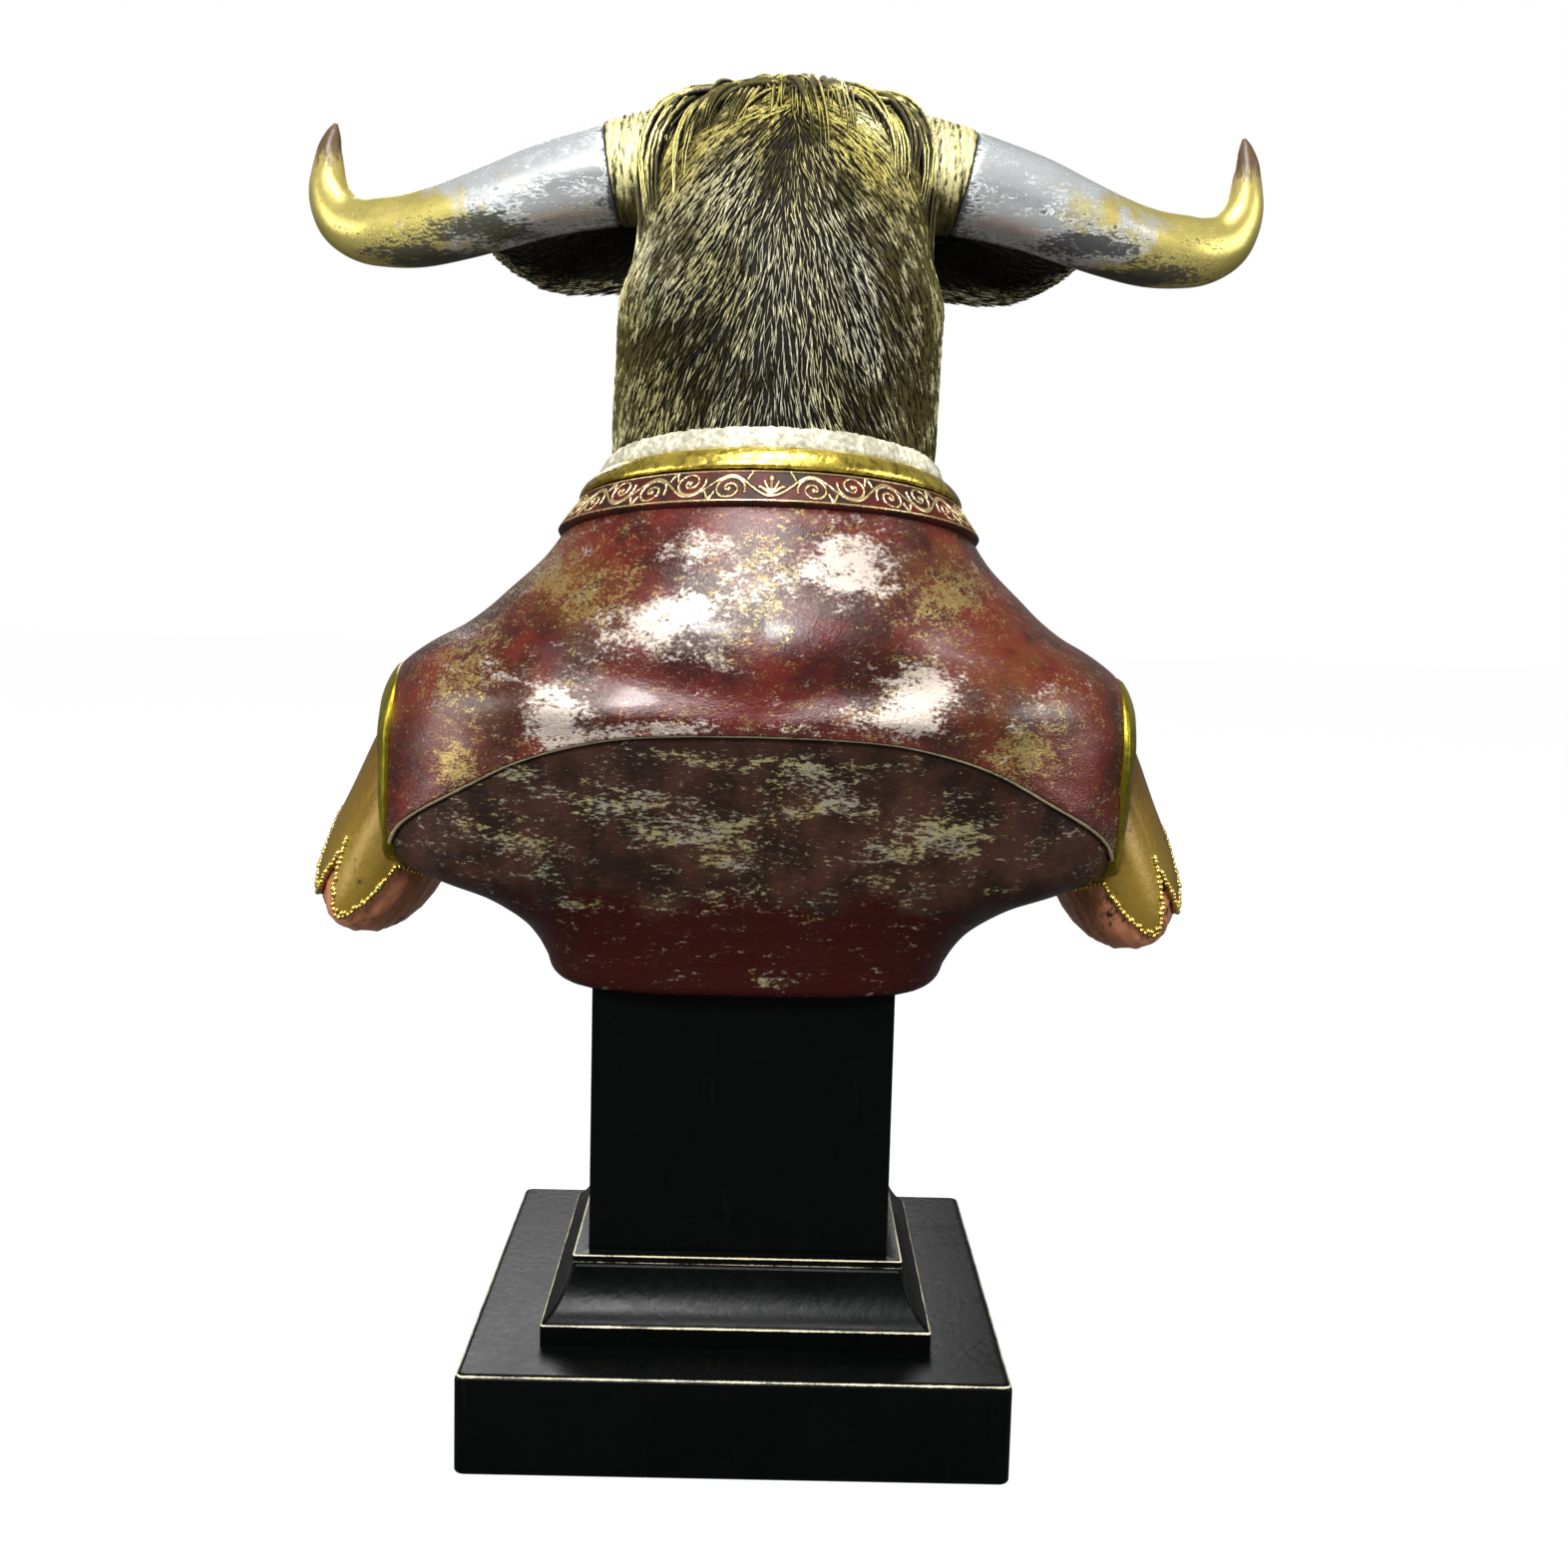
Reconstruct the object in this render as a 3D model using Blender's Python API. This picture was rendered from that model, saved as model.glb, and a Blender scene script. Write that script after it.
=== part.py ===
"""A bust of a dressed ox on a square plinth, cast in resin: slab, column with a moulded foot, bust and two horns.

The ox looks along -Y, +Z is up, and the origin is the centre of the slab's underside. Sizes are in metres.
The bust and the horns are free forms: their numbers are millimetres on a bust of CARVED_HEIGHT, and UNIT
brings them to BUST_HEIGHT.
"""

import math

import bmesh
import bpy
import numpy as np
from mathutils import Vector

# Plinth
SLAB_SIDE = 0.200
SLAB_HEIGHT = 0.038
SLAB_ROUNDING = 0.0025
FOOT_SIDE = 0.1453
FOOT_FASCIA = 0.0073
LEDGE_SIDE = 0.1237
FOOT_HEIGHT = 0.0307
LEDGE_HEIGHT = 0.0032
COLUMN_SIDE = 0.1128
COLUMN_HEIGHT = 0.132
COLUMN_ROUNDING = 0.0012
JOINT_GAP = 0.0003
FOOT_STEPS = 7

# Bust
BUST_HEIGHT = 0.345
CARVED_HEIGHT = 345.0
UNIT = BUST_HEIGHT / CARVED_HEIGHT
BUST_FLOOR = 170.0
SEAT_HEIGHT = SLAB_HEIGHT + COLUMN_HEIGHT
LEAN = math.radians(1.78)

# Coat
COAT_THICKNESS = 2.4
COAT_COLUMNS = 48
UNDER_ROWS = 7
COAT_ROWS = 12
COLLAR_SIDE_HEIGHT = 336.0
COLLAR_SLOPE = 0.18
PIPING_WIDTH = 5.6
PIPING_HEIGHT = 1.9
PIPING_STEPS = 22
BUTTON_RADIUS = 4.6
BUTTON_HEIGHT = 3.0
# How far up the coat's front, from the bust's floor to the collar, each button sits
BUTTON_SHARES = (0.8735, 0.7041, 0.5346, 0.3651, 0.1956)
PLACKET_WIDTH = 17.0

# Sleeves
SLEEVE_TOP = (112.0, -8.0, 272.0)
SLEEVE_END = (157.0, -8.0, 183.0)
LOBE_COUNT = 7
LOBE_TURN = math.radians(21)
LOBE_DEPTH = 28.0
LOBE_THICKNESS = 2.2
SLEEVE_COLUMNS = 28

# Head and neck
NECK_INSET = 4.0
THROAT = (-92.0, 350.0)
SWEEP_END = 124.0
HEAD_COLUMNS = 32
SWEEP_ROWS = 25
MUZZLE_ROWS = 8
TRACE_STEPS = 60

# Horns
HORN_SEAM_STEPS = 2
HORN_SIDES = 16

HORN_SILVER = (0.62, 0.62, 0.58)
COAT_RED = (0.20, 0.035, 0.03)
PLINTH_BLACK = (0.012, 0.014, 0.013)


def clear_scene():
    for obj in list(bpy.data.objects):
        bpy.data.objects.remove(obj)


def material(name, colour, roughness, metallic):
    made = bpy.data.materials.new(name)
    made.use_nodes = True
    shader = made.node_tree.nodes["Principled BSDF"]
    shader.inputs["Base Color"].default_value = (*colour, 1.0)
    shader.inputs["Roughness"].default_value = roughness
    shader.inputs["Metallic"].default_value = metallic
    return made


def place(points):
    """Brings carved millimetres to metres, with the bust's floor on the column and its slight lean to the right."""
    moved = np.array(points, float)
    moved[..., 2] -= BUST_FLOOR
    moved[..., 0] -= math.tan(LEAN) * moved[..., 2]
    moved *= UNIT
    moved[..., 2] += SEAT_HEIGHT
    return moved


def curve_through(at, xs, ys):
    """A smooth curve through (xs, ys), read at the given places: cubic, with flat tangents at turning points."""
    at, xs, ys = (np.asarray(v, float) for v in (at, xs, ys))
    slopes = np.diff(ys) / np.diff(xs)
    inner = np.where(slopes[1:] * slopes[:-1] > 0, (slopes[1:] + slopes[:-1]) / 2, 0.0)
    limit = 3 * np.minimum(np.abs(slopes[1:]), np.abs(slopes[:-1]))
    tangents = np.concatenate([slopes[:1], np.clip(inner, -limit, limit), slopes[-1:]])
    i = np.clip(np.searchsorted(xs, at, side="right") - 1, 0, len(xs) - 2)
    step = xs[i + 1] - xs[i]
    t = np.clip((at - xs[i]) / step, 0, 1)
    return (
        ys[i] * (1 + 2 * t) * (1 - t) ** 2
        + ys[i + 1] * t * t * (3 - 2 * t)
        + step * (tangents[i] * t * (1 - t) ** 2 - tangents[i + 1] * t * t * (1 - t))
    )


def solid_from_rings(name, rings, ring_closes=False):
    """One closed mesh from rings of equal count: sides between neighbours, and a fan at each open end."""
    rings = place(rings)
    count, sides = rings.shape[:2]
    work = bmesh.new()
    verts = [[work.verts.new(p) for p in ring] for ring in rings]
    last = count if ring_closes else count - 1
    for i in range(last):
        ring, above = verts[i], verts[(i + 1) % count]
        for j in range(sides):
            k = (j + 1) % sides
            work.faces.new((ring[j], ring[k], above[k], above[j]))
    if not ring_closes:
        for end in (0, -1):
            middle = work.verts.new(rings[end].mean(axis=0))
            for j in range(sides):
                work.faces.new((verts[end][j], verts[end][(j + 1) % sides], middle))
    bmesh.ops.remove_doubles(work, verts=work.verts, dist=1e-6)
    bmesh.ops.recalc_face_normals(work, faces=work.faces)
    mesh = bpy.data.meshes.new(name)
    work.to_mesh(mesh)
    work.free()
    mesh.shade_smooth()
    mesh.set_sharp_from_angle(angle=math.radians(40))
    obj = bpy.data.objects.new(name, mesh)
    bpy.context.scene.collection.objects.link(obj)
    return obj


def mirrored(rings):
    return np.array(rings, float) * (-1, 1, 1)


# Coat: rings round a vertical axis. A height gives half the width, the depth behind, the depth in front and how square.
HALF_WIDTH = (
    (170, 172, 180, 186, 192, 198, 202, 206, 210, 214, 222, 236, 251, 262, 270, 277, 284, 288, 293, 297, 301, 308,
     315, 328, 337, 348),
    (67, 72, 77, 81, 87, 97, 106, 119, 130, 137, 139, 141, 142, 143, 142.5, 141, 138, 135, 128.5, 122, 114.5, 105,
     97.5, 84, 77.5, 71),
)
DEPTH_BEHIND = (
    (170, 190, 210, 240, 262, 280, 300, 320, 335, 348),
    (66, 69, 73, 79, 83, 86, 84.5, 78, 71.5, 65),
)
DEPTH_IN_FRONT = (
    (170, 176, 190, 210, 230, 250, 270, 290, 310, 322, 340),
    (60, 63, 69, 77, 83, 87, 88, 87, 81.5, 76, 68),
)
SQUARENESS = ((170, 200, 230, 262, 290, 340), (5.0, 4.0, 3.5, 3.0, 2.4, 2.1))
HEM_TURNS = (0, 11, 21, 32, 42, 53, 65, 80, 90, 100, 112, 124, 180)
HEM_HEIGHTS = (267.5, 267, 264.5, 256, 242.5, 229.5, 216, 206, 199, 190, 178, 173, 172)
# Folds of the coat: turn from the back, height, turn width, height width, rise
FOLDS = (
    (24, 288, 26, 8, -2.4),
    (16, 307, 24, 10, 1.8),
    (24, 273, 26, 8, 1.4),
    (52, 262, 12, 18, -1.2),
    (158, 262, 14, 26, 1.6),
)


def fold_rise(turn, height):
    """How far the folds lift the coat, the same on both sides."""
    side = np.degrees(np.abs(np.arctan2(np.sin(turn), np.cos(turn))))
    rise = np.zeros_like(side)
    for at, level, wide, tall, lift in FOLDS:
        slope = height - level - (side - at) * 0.35
        rise += lift * np.exp(-(((side - at) / wide) ** 2) - (slope / tall) ** 2)
    return rise


def body_points(turn, height, lift):
    """Points of the body's surface, at a turn from the back and a height, lifted off it by lift."""
    half = curve_through(height, *HALF_WIDTH) + lift
    behind = np.cos(turn) > 0
    depth = np.where(behind, curve_through(height, *DEPTH_BEHIND), curve_through(height, *DEPTH_IN_FRONT)) + lift
    power = curve_through(height, *SQUARENESS)
    reach = (np.abs(np.sin(turn)) ** power + np.abs(np.cos(turn)) ** power) ** (-1 / power)
    return np.stack([half * reach * np.sin(turn), depth * reach * np.cos(turn), height], axis=-1)


def hem_height(turn):
    side = np.degrees(np.abs(np.arctan2(np.sin(turn), np.cos(turn))))
    return curve_through(side, HEM_TURNS, HEM_HEIGHTS)


def collar_height(turn):
    """The collar's lower edge lies in a plane that is higher at the nape."""
    return COLLAR_SIDE_HEIGHT + COLLAR_SLOPE * 70.0 * np.cos(turn)


# Collar rings, from the coat up: height over its lower edge, half width, depth behind and in front
COLLAR_RINGS = (
    (0.0, 81.0, 69.0, 79.0),
    (1.6, 81.5, 69.5, 79.5),
    (12.0, 73.5, 62.0, 71.5),
    (13.2, 74.0, 62.5, 72.0),
    (20.2, 68.5, 58.5, 68.0),
    (20.6, 67.0, 57.0, 66.5),
    (27.2, 64.0, 55.0, 64.5),
    (28.0, 59.0, 50.0, 60.0),
)


def coat_and_collar():
    turn = np.arange(COAT_COLUMNS) * 2 * math.pi / COAT_COLUMNS
    hem = hem_height(turn)
    rings = []
    for share in np.linspace(0, 1, UNDER_ROWS):
        rings.append(body_points(turn, BUST_FLOOR + (hem - BUST_FLOOR) * share, 0.0))
    collar = collar_height(turn)
    for share in np.linspace(0, 1, COAT_ROWS):
        height = hem + (collar - hem) * share
        rings.append(body_points(turn, height, COAT_THICKNESS + fold_rise(turn, height)))
    for rise, half, behind, front in COLLAR_RINGS:
        depth = np.where(np.cos(turn) > 0, behind, front)
        rings.append(np.stack([half * np.sin(turn), depth * np.cos(turn), collar + rise], axis=-1))
    return solid_from_rings("coat_form", rings)


# Sleeve sections: share of the way down, half width across, half depth fore and aft
SLEEVE_SECTIONS = (
    (0.0, 24, 31), (0.25, 25.5, 37), (0.5, 24, 40), (0.75, 22.5, 41), (0.9, 19, 40), (1.0, 12, 35),
)


def sleeve_frame():
    """The sleeve's top, its way down, the two directions across it (inwards and aft), and its length."""
    top, end = Vector(SLEEVE_TOP), Vector(SLEEVE_END)
    down = (end - top).normalized()
    fore = Vector((0, 1, 0))
    return np.array(top), np.array(down), np.array(down.cross(fore)) * -1, np.array(fore), (end - top).length


def sleeve_points(turn, along, lift):
    """Points of the sleeve at a turn from its inner side and a distance down it, lifted off it by lift."""
    top, down, out, fore, length = sleeve_frame()
    share = along / length
    shares = [s[0] for s in SLEEVE_SECTIONS]
    half = curve_through(share, shares, [s[1] for s in SLEEVE_SECTIONS]) + lift
    deep = curve_through(share, shares, [s[2] for s in SLEEVE_SECTIONS]) + lift
    across = (half * np.cos(turn))[..., None] * out + (deep * np.sin(turn))[..., None] * fore
    return top + along[..., None] * down + across


def sleeve_rings():
    turn = LOBE_TURN + np.arange(SLEEVE_COLUMNS) * 2 * math.pi / SLEEVE_COLUMNS
    length = sleeve_frame()[4]
    lobe = np.abs(np.sin((turn - LOBE_TURN) * LOBE_COUNT / 2)) ** 0.6
    edge = length - 6 - LOBE_DEPTH * (1 - lobe)
    whole = np.ones_like(turn)
    rings = [sleeve_points(turn, length * share * whole, LOBE_THICKNESS) for share in (0.02, 0.2, 0.4)]
    rings.append(sleeve_points(turn, 0.4 * length + 0.55 * (edge - 0.4 * length), LOBE_THICKNESS))
    rings.append(sleeve_points(turn, edge, LOBE_THICKNESS))
    rings.append(sleeve_points(turn, edge + 0.4, 0.0))
    rings.append(sleeve_points(turn, (length - 3) * whole, 0.0))
    rings.append(sleeve_points(turn, length * whole, -2.6))
    return rings


def armhole_path():
    """The line where the coat ends round the sleeve, as a loop over the shoulder and under the arm."""
    turn = np.arange(PIPING_STEPS) * 2 * math.pi / PIPING_STEPS
    height = 244 + 38 * np.cos(turn)
    fore = np.sign(np.sin(turn)) * np.abs(np.sin(turn)) ** 0.7 * (38 + 2 * np.cos(turn)) - 3
    out = curve_through(height, (206, 214, 222, 236, 252, 268, 282), (133.0, 136.2, 138.6, 142.0, 143.8, 143.6, 140.0))
    return np.stack([out, fore, height], axis=-1)


def piping_rings():
    path = armhole_path()
    along = np.roll(path, -1, axis=0) - np.roll(path, 1, axis=0)
    along /= np.linalg.norm(along, axis=1, keepdims=True)
    outward = path - (134.0, -4.0, 246.0)
    outward -= (outward * along).sum(axis=1, keepdims=True) * along
    outward /= np.linalg.norm(outward, axis=1, keepdims=True)
    across = np.cross(along, outward)
    half, tall = PIPING_WIDTH / 2, PIPING_HEIGHT
    corners = ((-half, -5.0), (-half, tall * 0.6), (0.0, tall), (half, tall * 0.6), (half, -5.0))
    return np.stack([path + a * across + b * outward for a, b in corners], axis=1)


# Head: soft-edged ellipsoids in the head's own frame. Along the face, above it, half width; then the three radii
HEAD_ORIGIN = (-40.0, 466.0)
HEAD_PITCH = math.radians(36)
BULK = (
    ((-6, 1, 0), (46, 46, 51)),
    ((22, 11, 0), (36, 31, 47)),
    ((62, 12, 0), (50, 25, 31)),
    ((100, 4, 0), (42, 25, 29)),
    ((126, -4, 0), (30, 29, 36)),
    ((112, -27, 0), (36, 15, 25)),
)
PAIRS = (
    ((30, -14, 24), (44, 34, 24)),
    ((70, -26, 13), (44, 20, 18)),
    ((36, 22, 34), (14, 9, 13)),
    ((142, 3, 18), (13, 13, 12)),
)
HOLLOWS = (
    ((45, 8, 48), (14, 10, 5)),
    ((154, 3, 18), (8, 5, 6)),
)
EYE = (45.0, 8.0, 35.5)
EYE_RADIUS = 9.5
BLEND = 9.0


def to_head(points):
    """Points in the head's frame: along the face, above it, and to the side, the same for both sides."""
    y, z = points[..., 1] - HEAD_ORIGIN[0], points[..., 2] - HEAD_ORIGIN[1]
    c, s = math.cos(HEAD_PITCH), math.sin(HEAD_PITCH)
    return np.stack([-c * y - s * z, -s * y + c * z, np.abs(points[..., 0])], axis=-1)


def from_head(along, above, side):
    c, s = math.cos(HEAD_PITCH), math.sin(HEAD_PITCH)
    return np.array([side, HEAD_ORIGIN[0] - c * along - s * above, HEAD_ORIGIN[1] - s * along + c * above])


def ellipsoid(points, centre, radii):
    """Roughly the distance from an ellipsoid's surface, negative inside."""
    scaled = (points - np.array(centre, float)) / np.array(radii, float)
    size = np.linalg.norm(scaled, axis=-1)
    slope = np.linalg.norm(scaled / np.array(radii, float), axis=-1)
    return size * (size - 1) / np.maximum(slope, 1e-6)


def soft_union(a, b, blend):
    mix = np.clip(0.5 + 0.5 * (b - a) / blend, 0, 1)
    return b + (a - b) * mix - blend * mix * (1 - mix)


def neck_distance(points):
    """Distance from the neck: an upright oval trunk that leans forward and narrows towards the poll."""
    z = points[..., 2]
    half = curve_through(z, (330, 428, 450, 480, 505), (62, 62.5, 59.5, 56, 53))
    middle = curve_through(z, (330, 400, 440, 470, 505), (-5, -5, -9, -17, -32))
    deep = curve_through(z, (330, 400, 440, 470, 505), (57, 58, 58, 54, 44))
    size = np.hypot(points[..., 0] / half, (points[..., 1] - middle) / deep)
    wall = (size - 1) * np.minimum(half, deep)
    return soft_union(wall, z - 504.0, -30.0)


def head_distance(points):
    """Distance from the head and neck together, negative inside."""
    local = to_head(points)
    found = neck_distance(points)
    for centre, radii in BULK + PAIRS:
        found = soft_union(found, ellipsoid(local, centre, radii), BLEND)
    for centre, radii in HOLLOWS:
        found = -soft_union(-found, ellipsoid(local, centre, radii), 4.0)
    mouth = np.exp(-(((local[..., 1] + 17 + 0.0016 * (local[..., 0] - 150) ** 2) / 2.2) ** 2))
    return found + 2.4 * mouth / (1 + np.exp(-(local[..., 0] - 92) / 5))


def traced(starts, directions):
    """Goes from inside the head along each direction until it meets the surface."""
    way = np.zeros(starts.shape[:-1])
    for _ in range(TRACE_STEPS):
        way += -0.75 * head_distance(starts + way[..., None] * directions)
    return starts + way[..., None] * directions


def head_rays(stage, turn):
    """Where rays start and which way they go. Stage 0 to 1 climbs the neck, 1 to 2 sweeps round the throat from the
    nape over the poll to the nose, and 2 to 3 closes over the muzzle. Turn 0 is the ox's back and nose side."""
    beta = np.radians(SWEEP_END * np.clip(stage - 1, 0, 1))
    reach = curve_through(np.degrees(beta), (0, 30, 60, 90, SWEEP_END), (87, 98, 98, 76, 52))
    outward = np.stack([np.zeros_like(beta), np.cos(beta), np.sin(beta)], axis=-1)
    forward = np.stack([np.zeros_like(beta), -np.sin(beta), np.cos(beta)], axis=-1)
    start = np.array([0.0, *THROAT]) + reach[..., None] * outward
    start[..., 2] += (COLLAR_SIDE_HEIGHT + NECK_INSET - THROAT[1]) * np.clip(1 - stage, 0, 1)
    gamma = math.pi / 2 * np.clip(stage - 2, 0, 1)
    ring = np.cos(turn)[..., None] * outward + np.sin(turn)[..., None] * np.array([1.0, 0, 0])
    return start, np.cos(gamma)[..., None] * ring + np.sin(gamma)[..., None] * forward


def head_points(stage, turn):
    stage, turn = np.broadcast_arrays(np.asarray(stage, float), np.asarray(turn, float))
    return traced(*head_rays(stage, turn))


def head_form():
    stages = np.concatenate([[0.0], np.linspace(1, 2, SWEEP_ROWS), 2 + np.arange(1, MUZZLE_ROWS) / MUZZLE_ROWS])
    turn = np.arange(HEAD_COLUMNS) * 2 * math.pi / HEAD_COLUMNS
    return solid_from_rings("head_form", head_points(stages[:, None], turn[None, :]))


# Ear sections: way out from the head, height, forward, half height, half thickness
EAR_SECTIONS = (
    (40, 449, -50, 10, 9),
    (56, 450.5, -57, 11, 8),
    (70, 451, -62, 12.3, 6.5),
    (86, 452, -67.5, 13.4, 5.4),
    (100, 454, -72.5, 12.8, 4.6),
    (112, 457, -76.5, 9.8, 3.6),
    (121, 459.5, -79.5, 5.6, 2.6),
    (126.5, 461, -81, 1.5, 1.2),
)
EAR_SIDES = 12


def ear_rings():
    """The ear is a leaf, rounded behind and scooped out in front."""
    turn = np.arange(EAR_SIDES) * 2 * math.pi / EAR_SIDES
    rings = []
    for out, height, fore, tall, thick in EAR_SECTIONS:
        front = np.clip(-np.sin(turn), 0, 1)
        scoop = 1.25 * min(1.0, tall / 12) * (1 if tall > 4 else 0)
        y = fore + thick * np.sin(turn) + scoop * thick * front * (1 - np.abs(np.cos(turn)))
        y = y - 0.16 * tall * np.abs(np.cos(turn)) ** 2
        rings.append(np.stack([out + 0 * turn, y, height + tall * np.cos(turn)], axis=-1))
    return rings


# Horn: way out, forward, height and radius of its line. The sheath of skin ends at the seam.
HORN_LINE = (
    (40, -34, 483, 22.0),
    (56, -34, 482.2, 21.2),
    (70, -34.5, 480.4, 20.4),
    (95, -36, 474.5, 18.5),
    (113, -37, 468.3, 17.1),
    (131, -39, 462.3, 15.9),
    (149, -42, 458, 14.9),
    (164.5, -44, 457.2, 13.6),
    (177, -47, 460.5, 11.7),
    (184.3, -49, 468.5, 9.6),
    (187, -50, 478, 7.5),
    (187.2, -51, 488, 5.5),
    (185.9, -51, 496, 3.2),
    (184.8, -51, 500.5, 0.8),
)
# The right horn's upturned end stands a little higher than the left's
RIGHT_HORN_RISE = 4.0


def horn_rings(first, last, share=1.0):
    """Rings square to the horn's line, from one of its points to another."""
    line = np.array(HORN_LINE, float)
    along = np.gradient(line[:, :3], axis=0)
    along /= np.linalg.norm(along, axis=1, keepdims=True)
    turn = np.arange(HORN_SIDES) * 2 * math.pi / HORN_SIDES
    rings = []
    for i in range(first, last + 1):
        side = np.array([0.0, 1.0, 0.0]) - along[i][1] * along[i]
        side /= np.linalg.norm(side)
        up = np.cross(along[i], side)
        reach = line[i, 3] * share
        rings.append(line[i, :3] + reach * (np.cos(turn)[:, None] * side + np.sin(turn)[:, None] * up))
    return rings


def sheath_rings():
    """The skin over the horn's root, ending square to the horn's line, a joint's gap short of the horn."""
    rings = horn_rings(0, HORN_SEAM_STEPS, 1.03)
    line = np.array(HORN_LINE, float)
    along = line[HORN_SEAM_STEPS + 1, :3] - line[HORN_SEAM_STEPS - 1, :3]
    along /= np.linalg.norm(along)
    rings[-1] = rings[-1] - along * JOINT_GAP / UNIT
    return rings


# Locks of the poll: start and end as (stage, turn in degrees) on the head, half width, and how high they stand
LOCKS_BEHIND = tuple((1.62 - 0.012 * abs(i), 13 * i, 1.37 + 0.02 * abs(i), 18 * i, 8.5, 5.0) for i in range(-4, 5))
LOCKS_IN_FRONT = tuple((1.58, 13 * i, 1.80 - 0.02 * abs(i), 9 * i, 7.0, 4.6) for i in range(-2, 3))
LOCK_RINGS = 5
LOCK_SIDES = 6


def lock_rings(from_stage, from_turn, to_stage, to_turn, half, stand):
    """A lock of hair is a flattened taper that lies along the head, thick in its first half and pointed at its end."""
    share = np.linspace(0, 1, LOCK_RINGS)
    stage = from_stage + (to_stage - from_stage) * share
    turn = np.radians(from_turn + (to_turn - from_turn) * share**1.4)
    middle = head_points(stage, turn)
    side = head_points(stage, turn + 0.02) - middle
    side /= np.linalg.norm(side, axis=1, keepdims=True)
    along = np.gradient(middle, axis=0)
    outward = np.cross(side, along)
    outward /= np.linalg.norm(outward, axis=1, keepdims=True)
    start, way = head_rays(stage, turn)
    outward *= np.sign((outward * way).sum(axis=1, keepdims=True))
    width = half * (0.25 + 0.75 * np.sin(math.pi * np.clip(share * 0.85 + 0.15, 0, 1)) ** 0.8)
    height = stand * np.clip(1 - share**3, 0.12, 1) * (0.45 + 0.55 * np.sin(math.pi * (0.15 + 0.7 * share)))
    angle = np.arange(LOCK_SIDES) * 2 * math.pi / LOCK_SIDES
    return [
        middle[i] + width[i] * np.cos(angle)[:, None] * side[i] + height[i] * np.sin(angle)[:, None] * outward[i]
        for i in range(LOCK_RINGS)
    ]


def eye_rings():
    """An eyeball, as rings about the line across the head."""
    turn = np.arange(10) * 2 * math.pi / 10
    middle = from_head(*EYE)
    rings = []
    for angle in np.radians((-80, -40, -10, 15, 38, 60, 80)):
        circle = np.stack([0 * turn + math.sin(angle), math.cos(angle) * np.cos(turn), math.cos(angle) * np.sin(turn)])
        rings.append(middle + EYE_RADIUS * circle.T)
    return rings


def front_frame(height):
    """The coat's front line at a height, and the way that it faces."""
    levels = np.array([height - 1.0, height, height + 1.0])
    points = body_points(np.full(3, math.pi), levels, COAT_THICKNESS)
    slope = points[2] - points[0]
    facing = np.array([0.0, -slope[2], slope[1]])
    return points[1], facing / np.linalg.norm(facing)


def button_rings(height):
    middle, facing = front_frame(height)
    side = np.array([1.0, 0, 0])
    up = np.cross(facing, side)
    angle = np.arange(10) * 2 * math.pi / 10
    rings = []
    for radius, out in ((0.8, -2.0), (1.0, 1.6), (0.86, 1.6 + 0.6 * BUTTON_HEIGHT), (0.3, 1.6 + BUTTON_HEIGHT)):
        circle = np.cos(angle)[:, None] * side + np.sin(angle)[:, None] * up
        rings.append(middle + radius * BUTTON_RADIUS * circle + out * facing)
    return rings


def placket_rings():
    """The strip down the coat's front that the buttons sit on."""
    heights = np.linspace(BUST_FLOOR + 6, collar_height(np.array(math.pi)) - 1, 12)
    half = PLACKET_WIDTH / 2
    rings = []
    for height in heights:
        middle, facing = front_frame(height)
        corners = ((-half, -4.0), (-half, 0.7), (-half + 1.2, 1.5), (half - 1.2, 1.5), (half, 0.7), (half, -4.0))
        rings.append([middle + np.array([x, 0, 0]) + out * facing for x, out in corners])
    return rings


def united(name, first, others, finish):
    """One object for the form that the others are joined to. They stay as hidden helpers in a collection."""
    helpers = bpy.data.collections.new(name + "_forms")
    bpy.context.scene.collection.children.link(helpers)
    for obj in others:
        bpy.context.scene.collection.objects.unlink(obj)
        helpers.objects.link(obj)
        obj.hide_render = True
        obj.display_type = "WIRE"
    first.name = name
    first.data.materials.append(finish)
    join = first.modifiers.new("Joined forms", "BOOLEAN")
    join.operation = "UNION"
    join.solver = "EXACT"
    join.operand_type = "COLLECTION"
    join.collection = helpers
    return first


def bust(finish):
    forms = [head_form()]
    for side, turned in (("left", np.array), ("right", mirrored)):
        forms.append(solid_from_rings(side + "_sleeve_form", turned(sleeve_rings())))
        forms.append(solid_from_rings(side + "_piping_form", turned(piping_rings()), ring_closes=True))
        forms.append(solid_from_rings(side + "_ear_form", turned(ear_rings())))
        forms.append(solid_from_rings(side + "_eye_form", turned(eye_rings())))
        forms.append(solid_from_rings(side + "_sheath_form", turned(sheath_rings())))
    for i, lock in enumerate(LOCKS_BEHIND + LOCKS_IN_FRONT):
        forms.append(solid_from_rings(f"lock_form_{i}", lock_rings(*lock)))
    forms.append(solid_from_rings("placket_form", placket_rings()))
    top = float(collar_height(np.array(math.pi)))
    for i, share in enumerate(BUTTON_SHARES):
        height = BUST_FLOOR + (top - BUST_FLOOR) * share
        forms.append(solid_from_rings(f"button_form_{i}", button_rings(height)))
    return united("ox_bust", coat_and_collar(), forms, finish)


def horn(name, turned, rise, finish):
    rings = np.array(horn_rings(HORN_SEAM_STEPS, len(HORN_LINE) - 1))
    rings[..., 2] += rise * np.clip((rings[..., 2] - 460.0) / 40.0, 0, 1) * (rings[..., 0] > 150.0)
    obj = solid_from_rings(name, turned(rings))
    obj.data.materials.append(finish)
    return obj


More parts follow.
